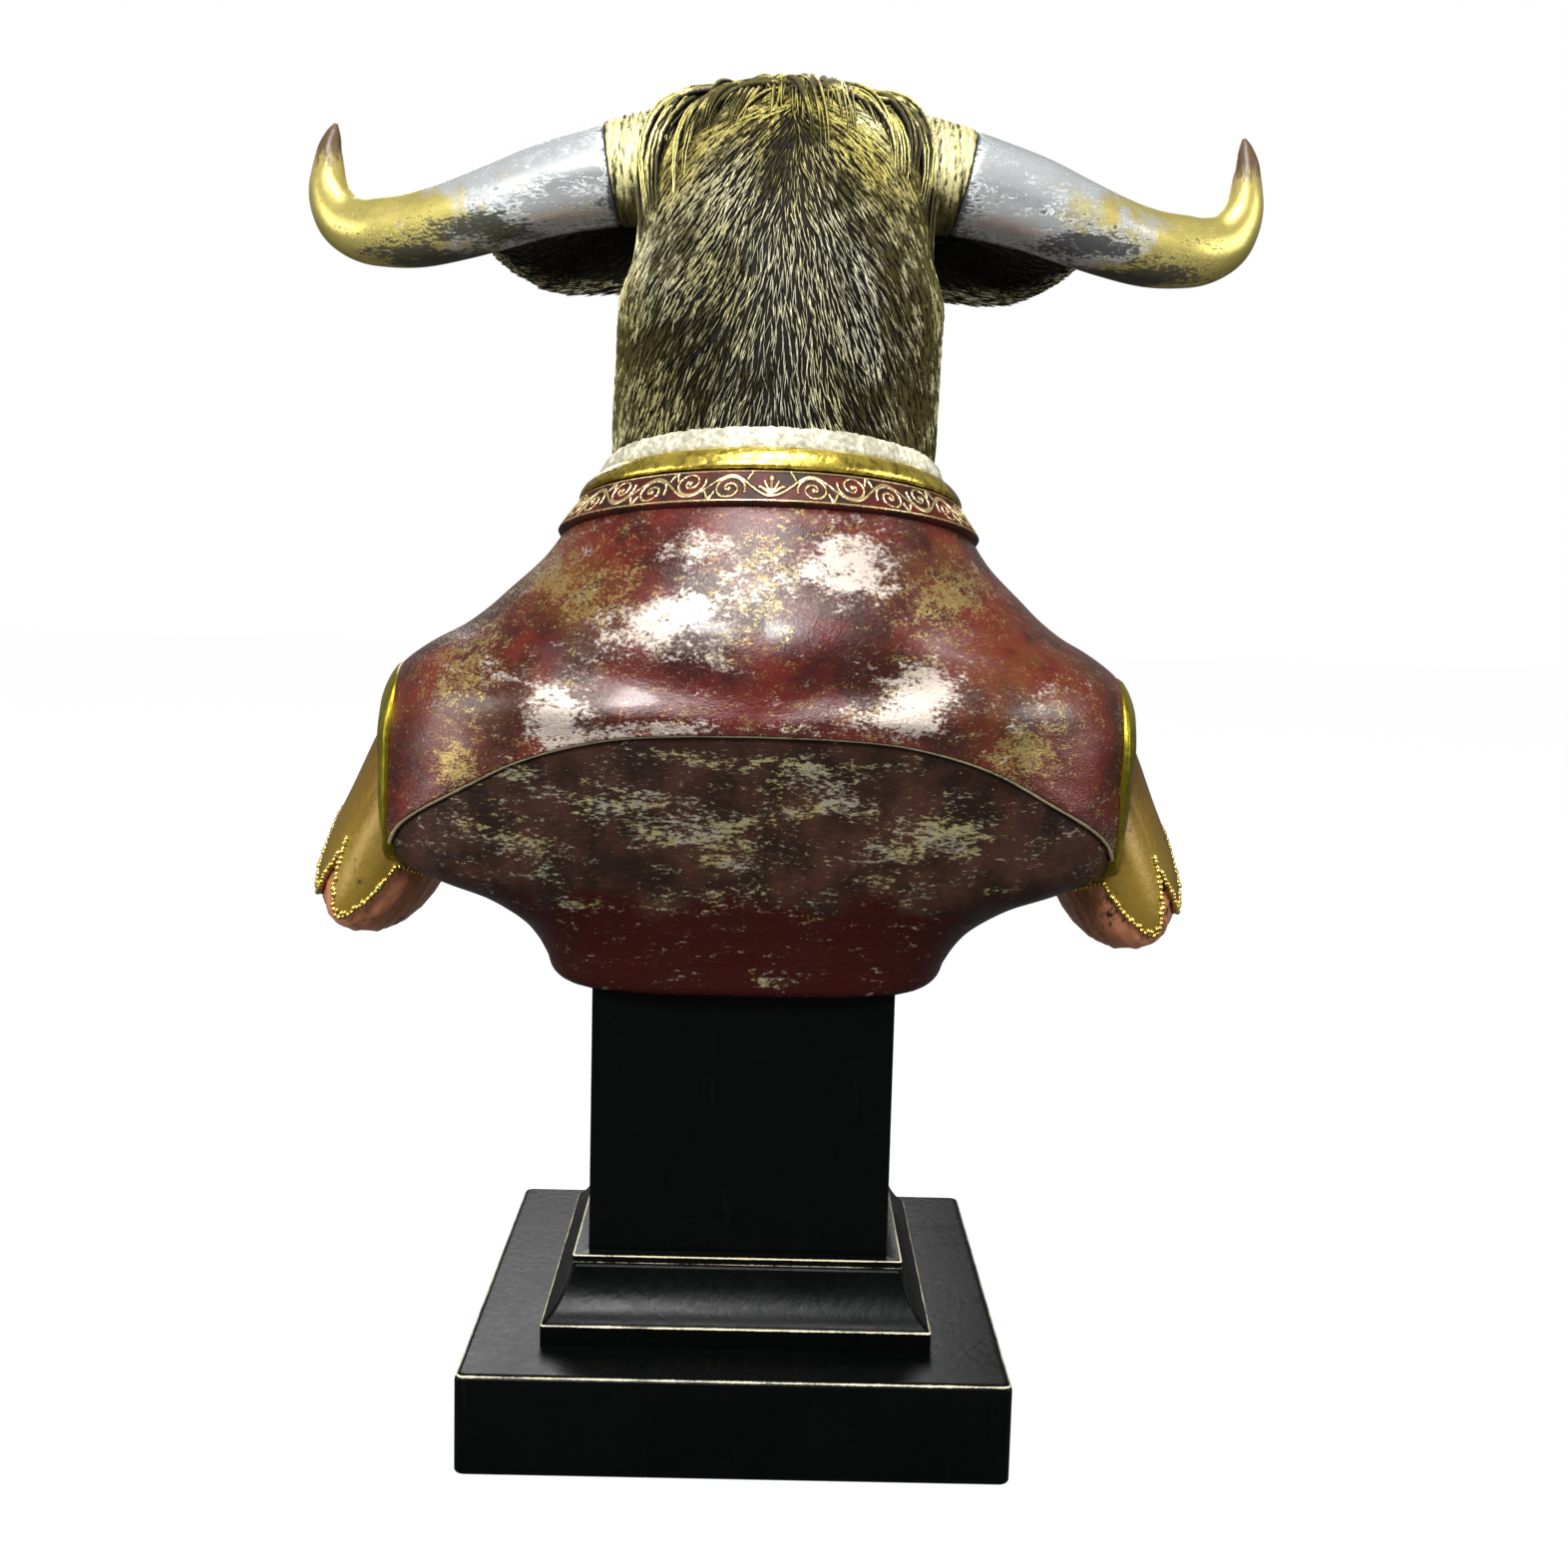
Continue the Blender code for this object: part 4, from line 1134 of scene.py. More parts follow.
@dataclass
class Trunk:
    """The coat, the dark underside that shows below its hem, and the strip and buttons down its hidden
    front."""

    form: TrunkForm = field(default_factory=TrunkForm)
    thickness: float = 2.4
    columns: int = 400
    rows: int = 132
    button_radius: float = 4.6
    # How far up the front, from the floor to the collar, each button sits
    button_shares: tuple[float, ...] = (0.8735, 0.7041, 0.5346, 0.3651, 0.1956)

    def underside(self) -> Surface:
        """Rings from the floor to just under the hem."""
        turn = full_turn(320)[None]
        share = np.linspace(0, 1, 72)[:, None]
        hem = self.form.hem_height(turn)
        height = FLOOR_OF_BUST + (hem + 5 - FLOOR_OF_BUST) * share
        rings = self.form.points(turn, height, -0.4 * smooth_step(share, 0.93, 1.0))
        rings[..., :2] *= np.where(share == 0, 0.985, 1.0)[..., None]
        placed = place(rings)
        low = smooth_step(-rings[..., 2] + 8 * np.cos(turn), -214, -184)
        brush = 0.42 * dabbed(placed, BRUSH_DABS, 0.9) + 0.17
        return Surface.from_rings(placed, {"low": low, "brush": brush * (1 - 0.3 * low)})

    def coat(self) -> Surface:
        """A shell: round the hem, up outside over the folds, in at the collar and down again inside."""
        turn = full_turn(self.columns)[None]
        hem, collar = self.form.hem_height(turn), self.form.collar_height(turn)
        share = (np.linspace(0, 1, self.rows) ** 1.05)[:, None]
        height = hem + 0.8 + (collar - hem - 0.8) * share
        lift = self.thickness + self.form.fold_rise(turn, height) * smooth_step(share, 0, 0.1)
        small = self.form.points(turn, height, 0.0)
        lift = lift + 0.5 * ripple(small * (1, 1, 1.8), 42.0, 3) * smooth_step(share, 0, 0.12) * (1 - share)
        edge = ((0.6, -0.9), (-0.25, 0.3), (-0.3, 1.3), (0.1, 2.0))
        rows = [self.form.points(turn, hem + rise, lift_off) for rise, lift_off in edge]
        rows += list(self.form.points(turn, height, lift))
        rows += [self.form.points(turn, collar + 1.5, -2.0), self.form.points(turn, collar - 20, -3.0)]
        rows += [self.form.points(turn, hem + (collar - hem) * s, -3.0) for s in (0.5, 0.15)]
        rings = np.stack([np.broadcast_to(r.reshape(-1, 3), (self.columns, 3)) for r in rows])
        # The edge mark paints the shade under the hem's lip and carries its rubbed rim.
        edge = np.zeros(rings.shape[:2])
        edge[1:6] = np.array([0.4, 0.9, 1.0, 0.3, 0.05])[:, None]
        placed = place(rings)
        wander = 0.5 + 0.5 * ripple(rings, 60.0, 11)
        # The silver mark is dry-brushed silver and partly a painted highlight.
        marks = {
            "silver": 0.03 + 0.66 * np.clip(1.25 * dabbed(placed, SILVER_AND_HIGHLIGHT_DABS) - 0.1, 0, 1) + 0.1 * wander,
            "fleck": 0.5 * dabbed(placed, GOLD_DABS) + 0.14 * wander,
            "stain": dabbed(placed, STAIN_DABS, 0.9), "edge": edge,
        }
        return Surface.from_rings(placed, marks, loop=True)

    def front_line(self, heights: Array) -> tuple[Array, Array]:
        """Points down the coat's front and the way that each faces: square to the line, in its upright
        plane."""
        turn = np.full(heights.shape, math.pi)
        points = self.form.points(turn, heights, self.thickness)
        above, below = (self.form.points(turn, heights + d, self.thickness) for d in (1, -1))
        slope = above - below
        return points, unit(np.stack([0 * heights, -slope[..., 2], slope[..., 1]], axis=-1))

    def placket(self) -> Surface:
        """The front strip: a flat section with rounded shoulders and a seam groove by each side."""
        heights = np.linspace(176, float(self.form.collar_height(np.array(math.pi))) - 1, 90)
        line, facing = self.front_line(heights)
        half = [-8.5, -8.5, -8.1, -7.3, -6.6, -6.2, -5.8, -4, 0, 4, 5.8, 6.2, 6.6, 7.3, 8.1, 8.5, 8.5]
        out = [-4, 0.4, 1.1, 1.5, 1.5, 1.15, 1.5, 1.5, 1.5, 1.5, 1.5, 1.15, 1.5, 1.5, 1.1, 0.4, -4]
        aside = np.array(half)[:, None] * np.array([1.0, 0, 0])
        rings = line[:, None] + aside + np.array(out)[:, None] * facing[:, None]
        placed = place(rings)
        edge = np.broadcast_to(np.clip(np.abs(np.array(half)) / 8.5, 0, 1) ** 12 * 0.8, rings.shape[:2])
        marks = {"silver": dabbed(placed, SILVER_AND_HIGHLIGHT_DABS) * 0.7, "fleck": dabbed(placed, GOLD_DABS) + 0.1}
        return Surface.from_rings(placed, {**marks, "stain": dabbed(placed, STAIN_DABS), "edge": edge})

    def buttons(self) -> Surface:
        """Domed buttons with a rolled rim, a profile turned about the way the coat faces."""
        top = float(self.form.collar_height(np.array(math.pi)))
        line, facing = self.front_line(FLOOR_OF_BUST + (top - FLOOR_OF_BUST) * np.array(self.button_shares))
        turn = full_turn(40)
        reach = np.array([0.82, 1.0, 1.04, 1.0, 0.9, 0.8, 0.7, 0.5, 0.25]) * self.button_radius
        out = np.array([-2.0, 1.6, 2.3, 2.9, 3.0, 2.6, 3.4, 4.2, 4.6])
        made = []
        for middle, way in zip(line, facing):
            side, up = np.array([1.0, 0, 0]), np.cross(way, (1.0, 0, 0))
            circle = np.cos(turn)[:, None] * side + np.sin(turn)[:, None] * up
            rings = middle + reach[:, None, None] * circle + out[:, None, None] * way
            made.append(Surface.from_rings(place(rings), {"gilt": (out / 5)[:, None] + 0 * turn}))
        return made[0].with_others(*made[1:])

    def build(self, shop: Finishes) -> None:
        """Makes the trunk's pieces. The coat stands for the CAD's bust."""
        self.underside().make("underside", shop.of(UndersidePaint()), Slot.RESIN)
        self.coat().make("coat", shop.of(CoatPaint()), Slot.RESIN, ("ox_bust",))
        self.placket().make("front_strip", shop.of(CoatPaint()), Slot.RESIN)
        self.buttons().make("buttons", shop.of(Gilt("button gold")), Slot.RESIN)


@dataclass
class Collar:
    """The collar's three bands: scrolls, polished gold and rough cream."""

    form: TrunkForm = field(default_factory=TrunkForm)
    periods: int = 16
    cell_columns: int = 88
    cell_rows: int = 38
    relief: float = 0.62

    def rings(self, turn: Array, rows: Sequence[tuple[float, float, float, float]]) -> Array:
        """Rings of the collar: an oval with its own depth behind and in front, at a rise over its lower
        edge."""
        table = np.array(rows, float)[:, :, None]
        depth = np.where(np.cos(turn) > 0, table[:, 2], table[:, 3])
        return np.stack(
            [table[:, 1] * np.sin(turn), depth * np.cos(turn), self.form.collar_height(turn) + table[:, 0]],
            axis=-1
        )

    def even_turns(self, count: int) -> Array:
        """Turns that part the scroll band's middle ring into even lengths."""
        turn = np.linspace(0, 2 * math.pi, 4000)
        ring = self.rings(turn, ((6.8, 77.5, 65.8, 75.5),))[0]
        walked = np.concatenate([[0], np.cumsum(np.linalg.norm(np.diff(ring, axis=0), axis=1))])
        return np.interp(np.arange(count) / count * walked[-1], walked, turn)

    def strokes(self) -> tuple[Array, Array]:
        """The vine of one period, 30 by 10.4 millimetres, as dots (across, up, half width): a wave, two
        spirals that wind in from it, buds at their hearts and small leaves; and apart, the sprout at the
        nape."""
        t = np.linspace(0, 1, 150)
        wave = np.stack(
            [30 * t, -3.5 * np.cos(2 * math.pi * t), 0.46 + 0.06 * np.cos(4 * math.pi * t)], axis=1
        )
        parts = [wave, wave - (30, 0, 0), wave + (30, 0, 0)]
        for middle, flip in ((15.0, 1.0), (30.0, -1.0), (0.0, -1.0)):
            angle = math.pi * (1.08 - 3.3 * t)
            radius = 4.5 * (1 - t) ** 0.85 + 0.8
            curl = np.stack(
                [middle + 0.3 + 1.12 * radius * np.cos(angle), flip * (radius * 0.84 * np.sin(angle) - 1.1),
                 0.46 - 0.08 * t], 1
            )
            bud = np.array([[middle + 0.3, flip * -1.1, 0.85]])
            leaf_t = t[:40] / t[39]
            leaf = np.stack(
                [middle - 6.2 - 2.6 * leaf_t, flip * (2.2 + 2.3 * np.sin(leaf_t * 2.2)),
                 0.48 - 0.22 * leaf_t], axis=1
            )
            twig = np.stack(
                [middle + 5.6 + 2.4 * leaf_t, flip * (-2.2 - 2.0 * np.sin(leaf_t * 2.4)),
                 0.48 - 0.22 * leaf_t], 1
            )
            parts += [curl, bud, leaf, twig]
        sprout = [wave, np.stack([0 * t, -3.4 + 5.4 * t, 0.5 + 0 * t], 1), np.array([[0, 2.6, 1.1]])]
        for lean, top in ((2.6, 1.4), (4.6, -0.6)):
            sprout.append(
                np.stack(
                    [lean * np.sin(1.8 * t), -3.0 + (top + 3.0) * t + 1.2 * np.sin(3.1 * t),
                     0.62 - 0.3 * t], 1
                )
            )
        return np.concatenate(parts), np.concatenate(sprout)

    def pattern(self) -> Array:
        """The relief over the whole band, 0 to 1: the highest of the dots' round bumps at each point,
        mirrored at the nape so that both vines spring from its sprout.

        Returns:
            Heights by row and column.
        """
        across = np.arange(self.cell_columns) * 30.0 / self.cell_columns
        up = np.linspace(-5.2, 5.2, self.cell_rows)
        cells = []
        for dots in self.strokes():
            off = (across[None, :, None] - dots[:, 0]) ** 2 + (up[:, None, None] - dots[:, 1]) ** 2
            cells.append(np.clip(1 - off / dots[:, 2] ** 2, 0, 1).max(axis=2) ** 0.5)
        half = np.tile(cells[0], (1, self.periods // 2))
        share = smooth_step(across, 6.6, 7.4)
        half[:, : self.cell_columns] = cells[1] * (1 - share) + cells[0] * share
        rim = np.exp(-(((np.abs(up) - 5.0) / 0.35) ** 2))[:, None]
        whole = np.concatenate([half, half[:, -1:], half[:, :0:-1]], axis=1)
        return np.maximum(whole * (np.abs(up) < 4.7)[:, None], 0.8 * rim)

    def scroll_band(self) -> Surface:
        """The band as a shell, its outer face raised along its own normal by the pattern."""
        pattern = self.pattern()
        turn = self.even_turns(pattern.shape[1])
        share = np.linspace(0, 1, self.cell_rows)[:, None]
        rows = np.array([1.2, 81.6, 69.6, 79.6]) * (1 - share) + np.array([12.0, 73.6, 62.1, 71.6]) * share
        face = self.rings(turn, rows)
        face = face + grid_normals(face) * (pattern * self.relief)[..., None]
        low = self.rings(turn, ((-1.2, 78.6, 66.6, 76.6), (-0.2, 81.0, 69.0, 79.0)))
        high = self.rings(turn, ((12.6, 72.4, 60.9, 70.4), (12.0, 66, 55, 64), (4.0, 68, 57, 66)))
        rings = np.concatenate([low, face, high])
        gilt = np.zeros(rings.shape[:2])
        gilt[2 : 2 + self.cell_rows] = pattern
        return Surface.from_rings(place(rings), {"gilt": gilt}, loop=True)

    def band(self, rows: Sequence[tuple[float, float, float, float]], rough: float, seed: int) -> Surface:
        """A plain band carried round the neck, its face roughened by small waves.

        Args:
            rows: Its section, as rises, half widths and depths behind and in front.
            rough: How far the waves move the face.
            seed: Which waves.

        Returns:
            The band.
        """
        turn = full_turn(720)
        table = through_sections(np.linspace(0, len(rows) - 1, 40), np.array(rows))
        rings = self.rings(turn, table)
        bump = ripple(rings, 7.0, seed) * 0.6 + ripple(rings, 2.6, seed + 1) * 0.4
        inside = np.linalg.norm(rings[..., :2], axis=-1) < np.linalg.norm(rings[0, :, :2], axis=-1) - 30
        rings = rings + grid_normals(rings) * (rough * bump * ~inside)[..., None]
        wander = 0.5 + 0.5 * ripple(rings, 30.0, seed + 2)
        share = np.linspace(0, 1, len(rings))[:, None]
        # On the gold band the gilt mark rises up its section: painted light, its top face lighter and its
        # lower face darker.
        marks = {"gilt": 0.35 + 0.5 * share + 0.3 * bump, "grime": 0.22 * wander + 0.25 * (1 - share)}
        return Surface.from_rings(place(rings), marks)

    def build(self, shop: Finishes) -> None:
        """Makes the three bands."""
        self.scroll_band().make("collar_scroll", shop.of(ScrollPaint()), Slot.RESIN)
        gold = (
            (12.4, 68, 57, 66), (12.9, 73.4, 62, 71.5), (14.2, 74.2, 62.8, 72.3), (17.2, 72.6, 61.6, 71),
            (19.6, 69.8, 59.4, 69), (20.4, 67.4, 57.4, 66.8), (20.0, 60, 50, 59)
        )
        self.band(gold, 0.10, 21).make("collar_gold", shop.of(Gilt("collar gold", rough=0.2)), Slot.RESIN)
        white = (
            (19.0, 60, 50, 60), (20.4, 66.8, 56.9, 66.4), (21.6, 67.2, 57.2, 66.8), (24.5, 66, 56.4, 66),
            (27.0, 64.6, 55.4, 64.9), (28.2, 62.8, 53.6, 63), (28.0, 58, 49, 59)
        )
        self.band(white, 0.55, 31).make("collar_cream", shop.of(PlasterWhite()), Slot.RESIN)


@dataclass
class Sleeve:
    """A sleeve stub: five petals edged with beads over a copper lining, and the gold piping round its
    armhole."""

    top: tuple[float, float, float] = (112.0, -8.0, 272.0)
    end: tuple[float, float, float] = (157.0, -8.0, 183.0)
    # Share of the way down, half width across, half depth fore and aft
    sections: tuple[tuple[float, ...], ...] = (
        (0.0, 24, 31), (0.25, 25.5, 37), (0.5, 24, 40), (0.75, 22.5, 41), (0.9, 19, 40), (1.0, 12, 35)
    )
    trunk: TrunkForm = field(default_factory=TrunkForm)
    lobes: int = 7
    lobe_turn: float = math.radians(21)
    lobe_depth: float = 28.0
    bead: float = 1.15

    @property
    def length(self) -> float:
        """The sleeve's length."""
        return math.dist(self.top, self.end)

    def points(self, turn: Array, along: Array, lift: Array | float) -> Array:
        """Points of the sleeve: an oval square to its way down.

        Args:
            turn: The turn from its inner side, 90 degrees towards the back.
            along: How far down.
            lift: How far off it.

        Returns:
            Carved points.
        """
        top = np.array(self.top)
        down = unit(np.array(self.end) - top)
        fore = np.array([0.0, 1.0, 0.0])
        table = np.array(self.sections)
        half, deep = (curve_through(along / self.length, table[:, 0], table[:, i]) + lift for i in (1, 2))
        across = (half * np.cos(turn))[..., None] * -np.cross(down, fore)
        across = across + (deep * np.sin(turn))[..., None] * fore
        return top + along[..., None] * down + across

    def edge(self, turn: Array) -> Array:
        """How far down the petals reach: round lobes with pointed valleys."""
        return self.length - 6 - self.lobe_depth * (1 - self.swell(turn) ** 0.6)

    def swell(self, turn: Array) -> Array:
        """0 in the valleys between the petals and 1 on their middles. The two by the body are left out."""
        step = np.mod(turn - self.lobe_turn + 2 * math.pi / self.lobes, 2 * math.pi) * self.lobes / 2
        return np.where(step < 2 * math.pi, 0.0, np.abs(np.sin(step)))

    def petals(self) -> Surface:
        """The petals as a shell, outside down to their edge and inside up again."""
        turn = self.lobe_turn + full_turn(294)[None]
        edge = self.edge(turn)
        share = np.linspace(0, 1, 60)[:, None]
        start = 0.02 * self.length
        belly = 0.7 * np.sin(math.pi * share) * self.swell(turn)
        outer = self.points(turn, start + (edge - start) * share, 2.2 + belly)
        lip = [self.points(turn, edge + d, lift) for d, lift in ((0.5, 1.6), (0.5, 0.7), (0.0, 0.2))]
        inner = [self.points(turn, start + (edge - start) * s, -0.6) for s in (0.9, 0.5, 0.0)]
        rings = np.stack([*outer, *(r[0] for r in lip), *(r[0] for r in inner)])
        fall = np.concatenate([share, np.ones((6, 1))])
        return Surface.from_rings(rings, {"fall": np.broadcast_to(fall, rings.shape[:2])}, loop=True)

    def lining(self) -> Surface:
        """The lining under the petals, closed a little way in."""
        turn = full_turn(160)[None]
        along = np.array([0.3, 0.45, 0.6, 0.7, 0.8, 0.88, 0.94, 0.97, 0.985, 1.0, 1.0, 0.97])
        along = along[:, None] * self.length - 2.0
        lift = np.array([-1, 0, 0, 0, 0, 0, 0, 0, -0.3, -2.0, -5.0, -9.0])[:, None]
        rings = self.points(turn + 0 * along, along + 0 * turn, lift)
        rings = rings + grid_normals(rings) * (0.5 * ripple(rings, 9.0, 5))[..., None]
        return Surface.from_rings(rings, {"fall": np.broadcast_to(along / self.length, rings.shape[:2])})

    def beads(self) -> Surface:
        """Beads threaded along the petals' edge at even steps, with a second row here and there."""
        turn = np.linspace(0, 2 * math.pi, 6000)
        path = self.points(turn, self.edge(turn) - 0.3, 2.3)
        walked = np.concatenate([[0], np.cumsum(np.linalg.norm(np.diff(path, axis=0), axis=1))])
        count = int(walked[-1] / (1.72 * self.bead))
        steps = np.arange(count) / count * walked[-1]
        rng = np.random.default_rng(8)
        at = np.interp(steps, walked, turn)
        first = self.points(at, self.edge(at) - 0.3, 2.3) + rng.normal(0, 0.16, (count, 3))
        extra = at[rng.random(count) < 0.45] + 0.004
        second = self.points(extra, self.edge(extra) - 2.1, 2.5) + rng.normal(0, 0.2, (len(extra), 3))
        return small_ball().repeated(
            np.concatenate([first, second]), self.bead * rng.uniform(0.78, 1.12, count + len(extra))
        )

    def piping(self) -> Surface:
        """The armhole's strip: a flat band that lies on the coat, round a loop with square corners whose
        lower one ends the hem. Each point of its section is found on the coat again, so that the band bends
        with it."""
        turn = full_turn(300)
        square = [np.sign(v) * np.abs(v) ** 0.55 for v in (np.sin(turn), np.cos(turn))]
        coat, height = self.trunk, 246 + 35 * square[1]
        around = np.radians(91 - 28 * square[0])
        path = coat.points(around, height, 2.4)
        along = unit(np.roll(path, -1, axis=0) - np.roll(path, 1, axis=0))
        facing = np.cross(
            coat.points(around, height + 1, 2.4) - path, coat.points(around + 0.02, height, 2.4) - path
        )
        across = unit(np.cross(unit(facing), along))
        wide = 6.2 + 0.15 * ripple(path, 14.0, 9)
        shape = np.array([
            (-1, -3), (-1, 0.4), (-0.95, 0.9), (-0.85, 1.2), (-0.4, 1.3), (0, 1.3), (0.4, 1.3), (0.85, 1.2),
            (0.95, 0.9), (1, 0.4), (1, -3),
        ])
        flat = path[:, None] + (shape[:, 0] * wide[:, None])[..., None] * across[:, None]
        half = curve_through(flat[..., 2], *coat.half_width) + 2.4
        back, front = (curve_through(flat[..., 2], *c) + 2.4 for c in (coat.behind, coat.in_front))
        around = np.arctan2(flat[..., 0] / half, flat[..., 1] / np.where(flat[..., 1] > 0, back, front))
        rings = coat.points(around, flat[..., 2], 2.4 + shape[:, 1])
        gilt = np.broadcast_to(np.clip(shape[:, 1] / 2, 0, 1), rings.shape[:2])
        return Surface.from_rings(rings, {"gilt": gilt}, loop=True)

    def build(self, shop: Finishes) -> None:
        """Makes both sleeves."""
        satin = shop.of(
            SatinPaint("sleeve ochre", (0.13, 0.058, 0.009), (0.21, 0.135, 0.014), metallic=0.35)
        )
        copper = shop.of(
            SatinPaint("lining copper", (0.62, 0.20, 0.08), (0.78, 0.32, 0.17), metallic=0.5, sooty=0.3)
        )
        gold = shop.of(Gilt("piping gold", (0.36, 0.31, 0.03), (0.20, 0.16, 0.01), 0.36))
        bead = shop.of(Gilt("bead gold", (0.80, 0.62, 0.16), (0.36, 0.22, 0.04)))
        for side in Side:
            tail = side.name.lower()
            for name, made, finish in (
                ("petals_", self.petals(), satin), ("lining_", self.lining(), copper),
                ("beads_", self.beads(), bead), ("piping_", self.piping(), gold),
            ):
                made.on_side(side).placed().make(name + tail, finish, Slot.RESIN, (), 55.0)


def small_ball() -> Surface:
    """A ball of five rings of eight, for beads."""
    turn, rise = full_turn(8), np.radians((-60, -25, 10, 45, 75))
    rings = np.stack(
        [
            np.cos(rise)[:, None] * np.cos(turn), np.cos(rise)[:, None] * np.sin(turn),
            np.sin(rise)[:, None] + 0 * turn,
        ],
        axis=-1,
    )
    # The gilt mark rises to each bead's top: painted light, lighter on top and darker below.
    return Surface.from_rings(rings, {"gilt": 0.5 + 0.5 * np.sin(rise)[:, None] + 0 * turn})


@dataclass
class HeadForm:
    """The head and neck as a soft union of ellipsoids and a trunk, known by the distance from their
    surface."""

    origin: tuple[float, float] = (-40.0, 466.0)
    pitch: float = math.radians(36)
    # Centre along the face, above it and to the side, then the radii
    bulk: tuple = (
        ((-6, 1, 0), (46, 46, 51)), ((22, 11, 0), (36, 31, 47)), ((62, 12, 0), (50, 25, 31)),
        ((100, 4, 0), (42, 25, 29)), ((126, -4, 0), (30, 29, 36)), ((112, -27, 0), (36, 15, 25)),
        ((30, -14, 24), (44, 34, 24)), ((70, -26, 13), (44, 20, 18)), ((36, 22, 34), (14, 9, 13)),
        ((142, 3, 18), (13, 13, 12)),
    )
    hollows: tuple = (((45, 8, 48), (14, 10, 5)), ((154, 3, 18), (8, 5, 6)))
    eye: tuple[float, float, float] = (45.0, 8.0, 35.5)
    eye_radius: float = 9.5

    def to_head(self, points: Array) -> Array:
        """Points in the head's frame: along the face, above it, and to the side, the same for both
        sides."""
        y, z = points[..., 1] - self.origin[0], points[..., 2] - self.origin[1]
        c, s = math.cos(self.pitch), math.sin(self.pitch)
        return np.stack([-c * y - s * z, -s * y + c * z, np.abs(points[..., 0])], axis=-1)

    def from_head(self, along: Array, above: Array, side: Array) -> Array:
        """Carved points from the head's frame."""
        c, s = math.cos(self.pitch), math.sin(self.pitch)
        y, z = self.origin[0] - c * along - s * above, self.origin[1] - s * along + c * above
        return np.stack(np.broadcast_arrays(side, y, z), axis=-1).astype(float)

    @staticmethod
    def ellipsoid(points: Array, centre: Sequence[float], radii: Sequence[float]) -> Array:
        """Roughly the distance from an ellipsoid: its scaled size less one, over the scaling's slope."""
        scaled = (points - np.array(centre, float)) / np.array(radii, float)
        size = np.linalg.norm(scaled, axis=-1)
        return size * (size - 1) / np.maximum(
            np.linalg.norm(scaled / np.array(radii, float), axis=-1), 1e-6
        )

    @staticmethod
    def soft_union(a: Array, b: Array, blend: float) -> Array:
        """The nearer of two distances, with the crease between them filled over the blend's width."""
        mix = np.clip(0.5 + 0.5 * (b - a) / blend, 0, 1)
        return b + (a - b) * mix - blend * mix * (1 - mix)

    def neck(self, points: Array) -> Array:
        """Distance from the neck: an upright oval that leans forward and narrows towards the poll."""
        z = points[..., 2]
        half = curve_through(z, (330, 424, 446, 480, 505), (62, 62, 56.5, 52.5, 51))
        middle = curve_through(z, (330, 400, 440, 470, 505), (-5, -5, -9, -17, -32))
        deep = curve_through(z, (330, 400, 440, 470, 505), (57, 58, 58, 54, 44))
        size = np.hypot(points[..., 0] / half, (points[..., 1] - middle) / deep)
        return self.soft_union((size - 1) * np.minimum(half, deep), z - 504.0, -30.0)

    def distance(self, points: Array) -> Array:
        """Distance from the head and neck together, negative inside."""
        local = self.to_head(points)
        found = self.neck(points)
        for centre, radii in self.bulk:
            found = self.soft_union(found, self.ellipsoid(local, centre, radii), 9.0)
        for centre, radii in self.hollows:
            found = -self.soft_union(-found, self.ellipsoid(local, centre, radii), 4.0)
        mouth = np.exp(-(((local[..., 1] + 17 + 0.0016 * (local[..., 0] - 150) ** 2) / 2.2) ** 2))
        return found + 2.4 * mouth / (1 + np.exp(-(local[..., 0] - 92) / 5))

    def settle(self, points: Array) -> tuple[Array, Array]:
        """Moves points onto the surface and gives the way it faces there, from differences of the
        distance."""
        here = self.distance(points)
        steps = np.eye(3) * 0.4
        facing = unit(np.stack([self.distance(points + step) - here for step in steps], axis=-1))
        return points - here[..., None] * facing, facing

    def points(self, stage: Array, turn: Array) -> Array:
        """Goes from inside the head along rays until the surface is met. Stage 0 to 1 climbs the neck, 1 to
        2 sweeps round the throat from the nape over the poll to the nose, and 2 to 3 closes over the
        muzzle.

        Args:
            stage: Where on that way.
            turn: The turn about it, 0 at the back and the nose's ridge.

        Returns:
            Carved points.
        """
        stage, turn = np.broadcast_arrays(np.asarray(stage, float), np.asarray(turn, float))
        beta = np.radians(124.0 * np.clip(stage - 1, 0, 1))
        reach = curve_through(np.degrees(beta), (0, 30, 60, 90, 124), (87, 98, 98, 76, 52))
        outward = np.stack([0 * beta, np.cos(beta), np.sin(beta)], axis=-1)
        forward = np.stack([0 * beta, -np.sin(beta), np.cos(beta)], axis=-1)
        start = np.array([0.0, -92.0, 350.0]) + reach[..., None] * outward
        start[..., 2] -= 10.0 * np.clip(1 - stage, 0, 1)
        gamma = math.pi / 2 * np.clip(stage - 2, 0, 1)
        ring = np.cos(turn)[..., None] * outward + np.sin(turn)[..., None] * np.array([1.0, 0, 0])
        way = np.cos(gamma)[..., None] * ring + np.sin(gamma)[..., None] * forward
        gone = np.zeros(stage.shape)
        for _ in range(60):
            gone += -0.75 * self.distance(start + gone[..., None] * way)
        return start + gone[..., None] * way


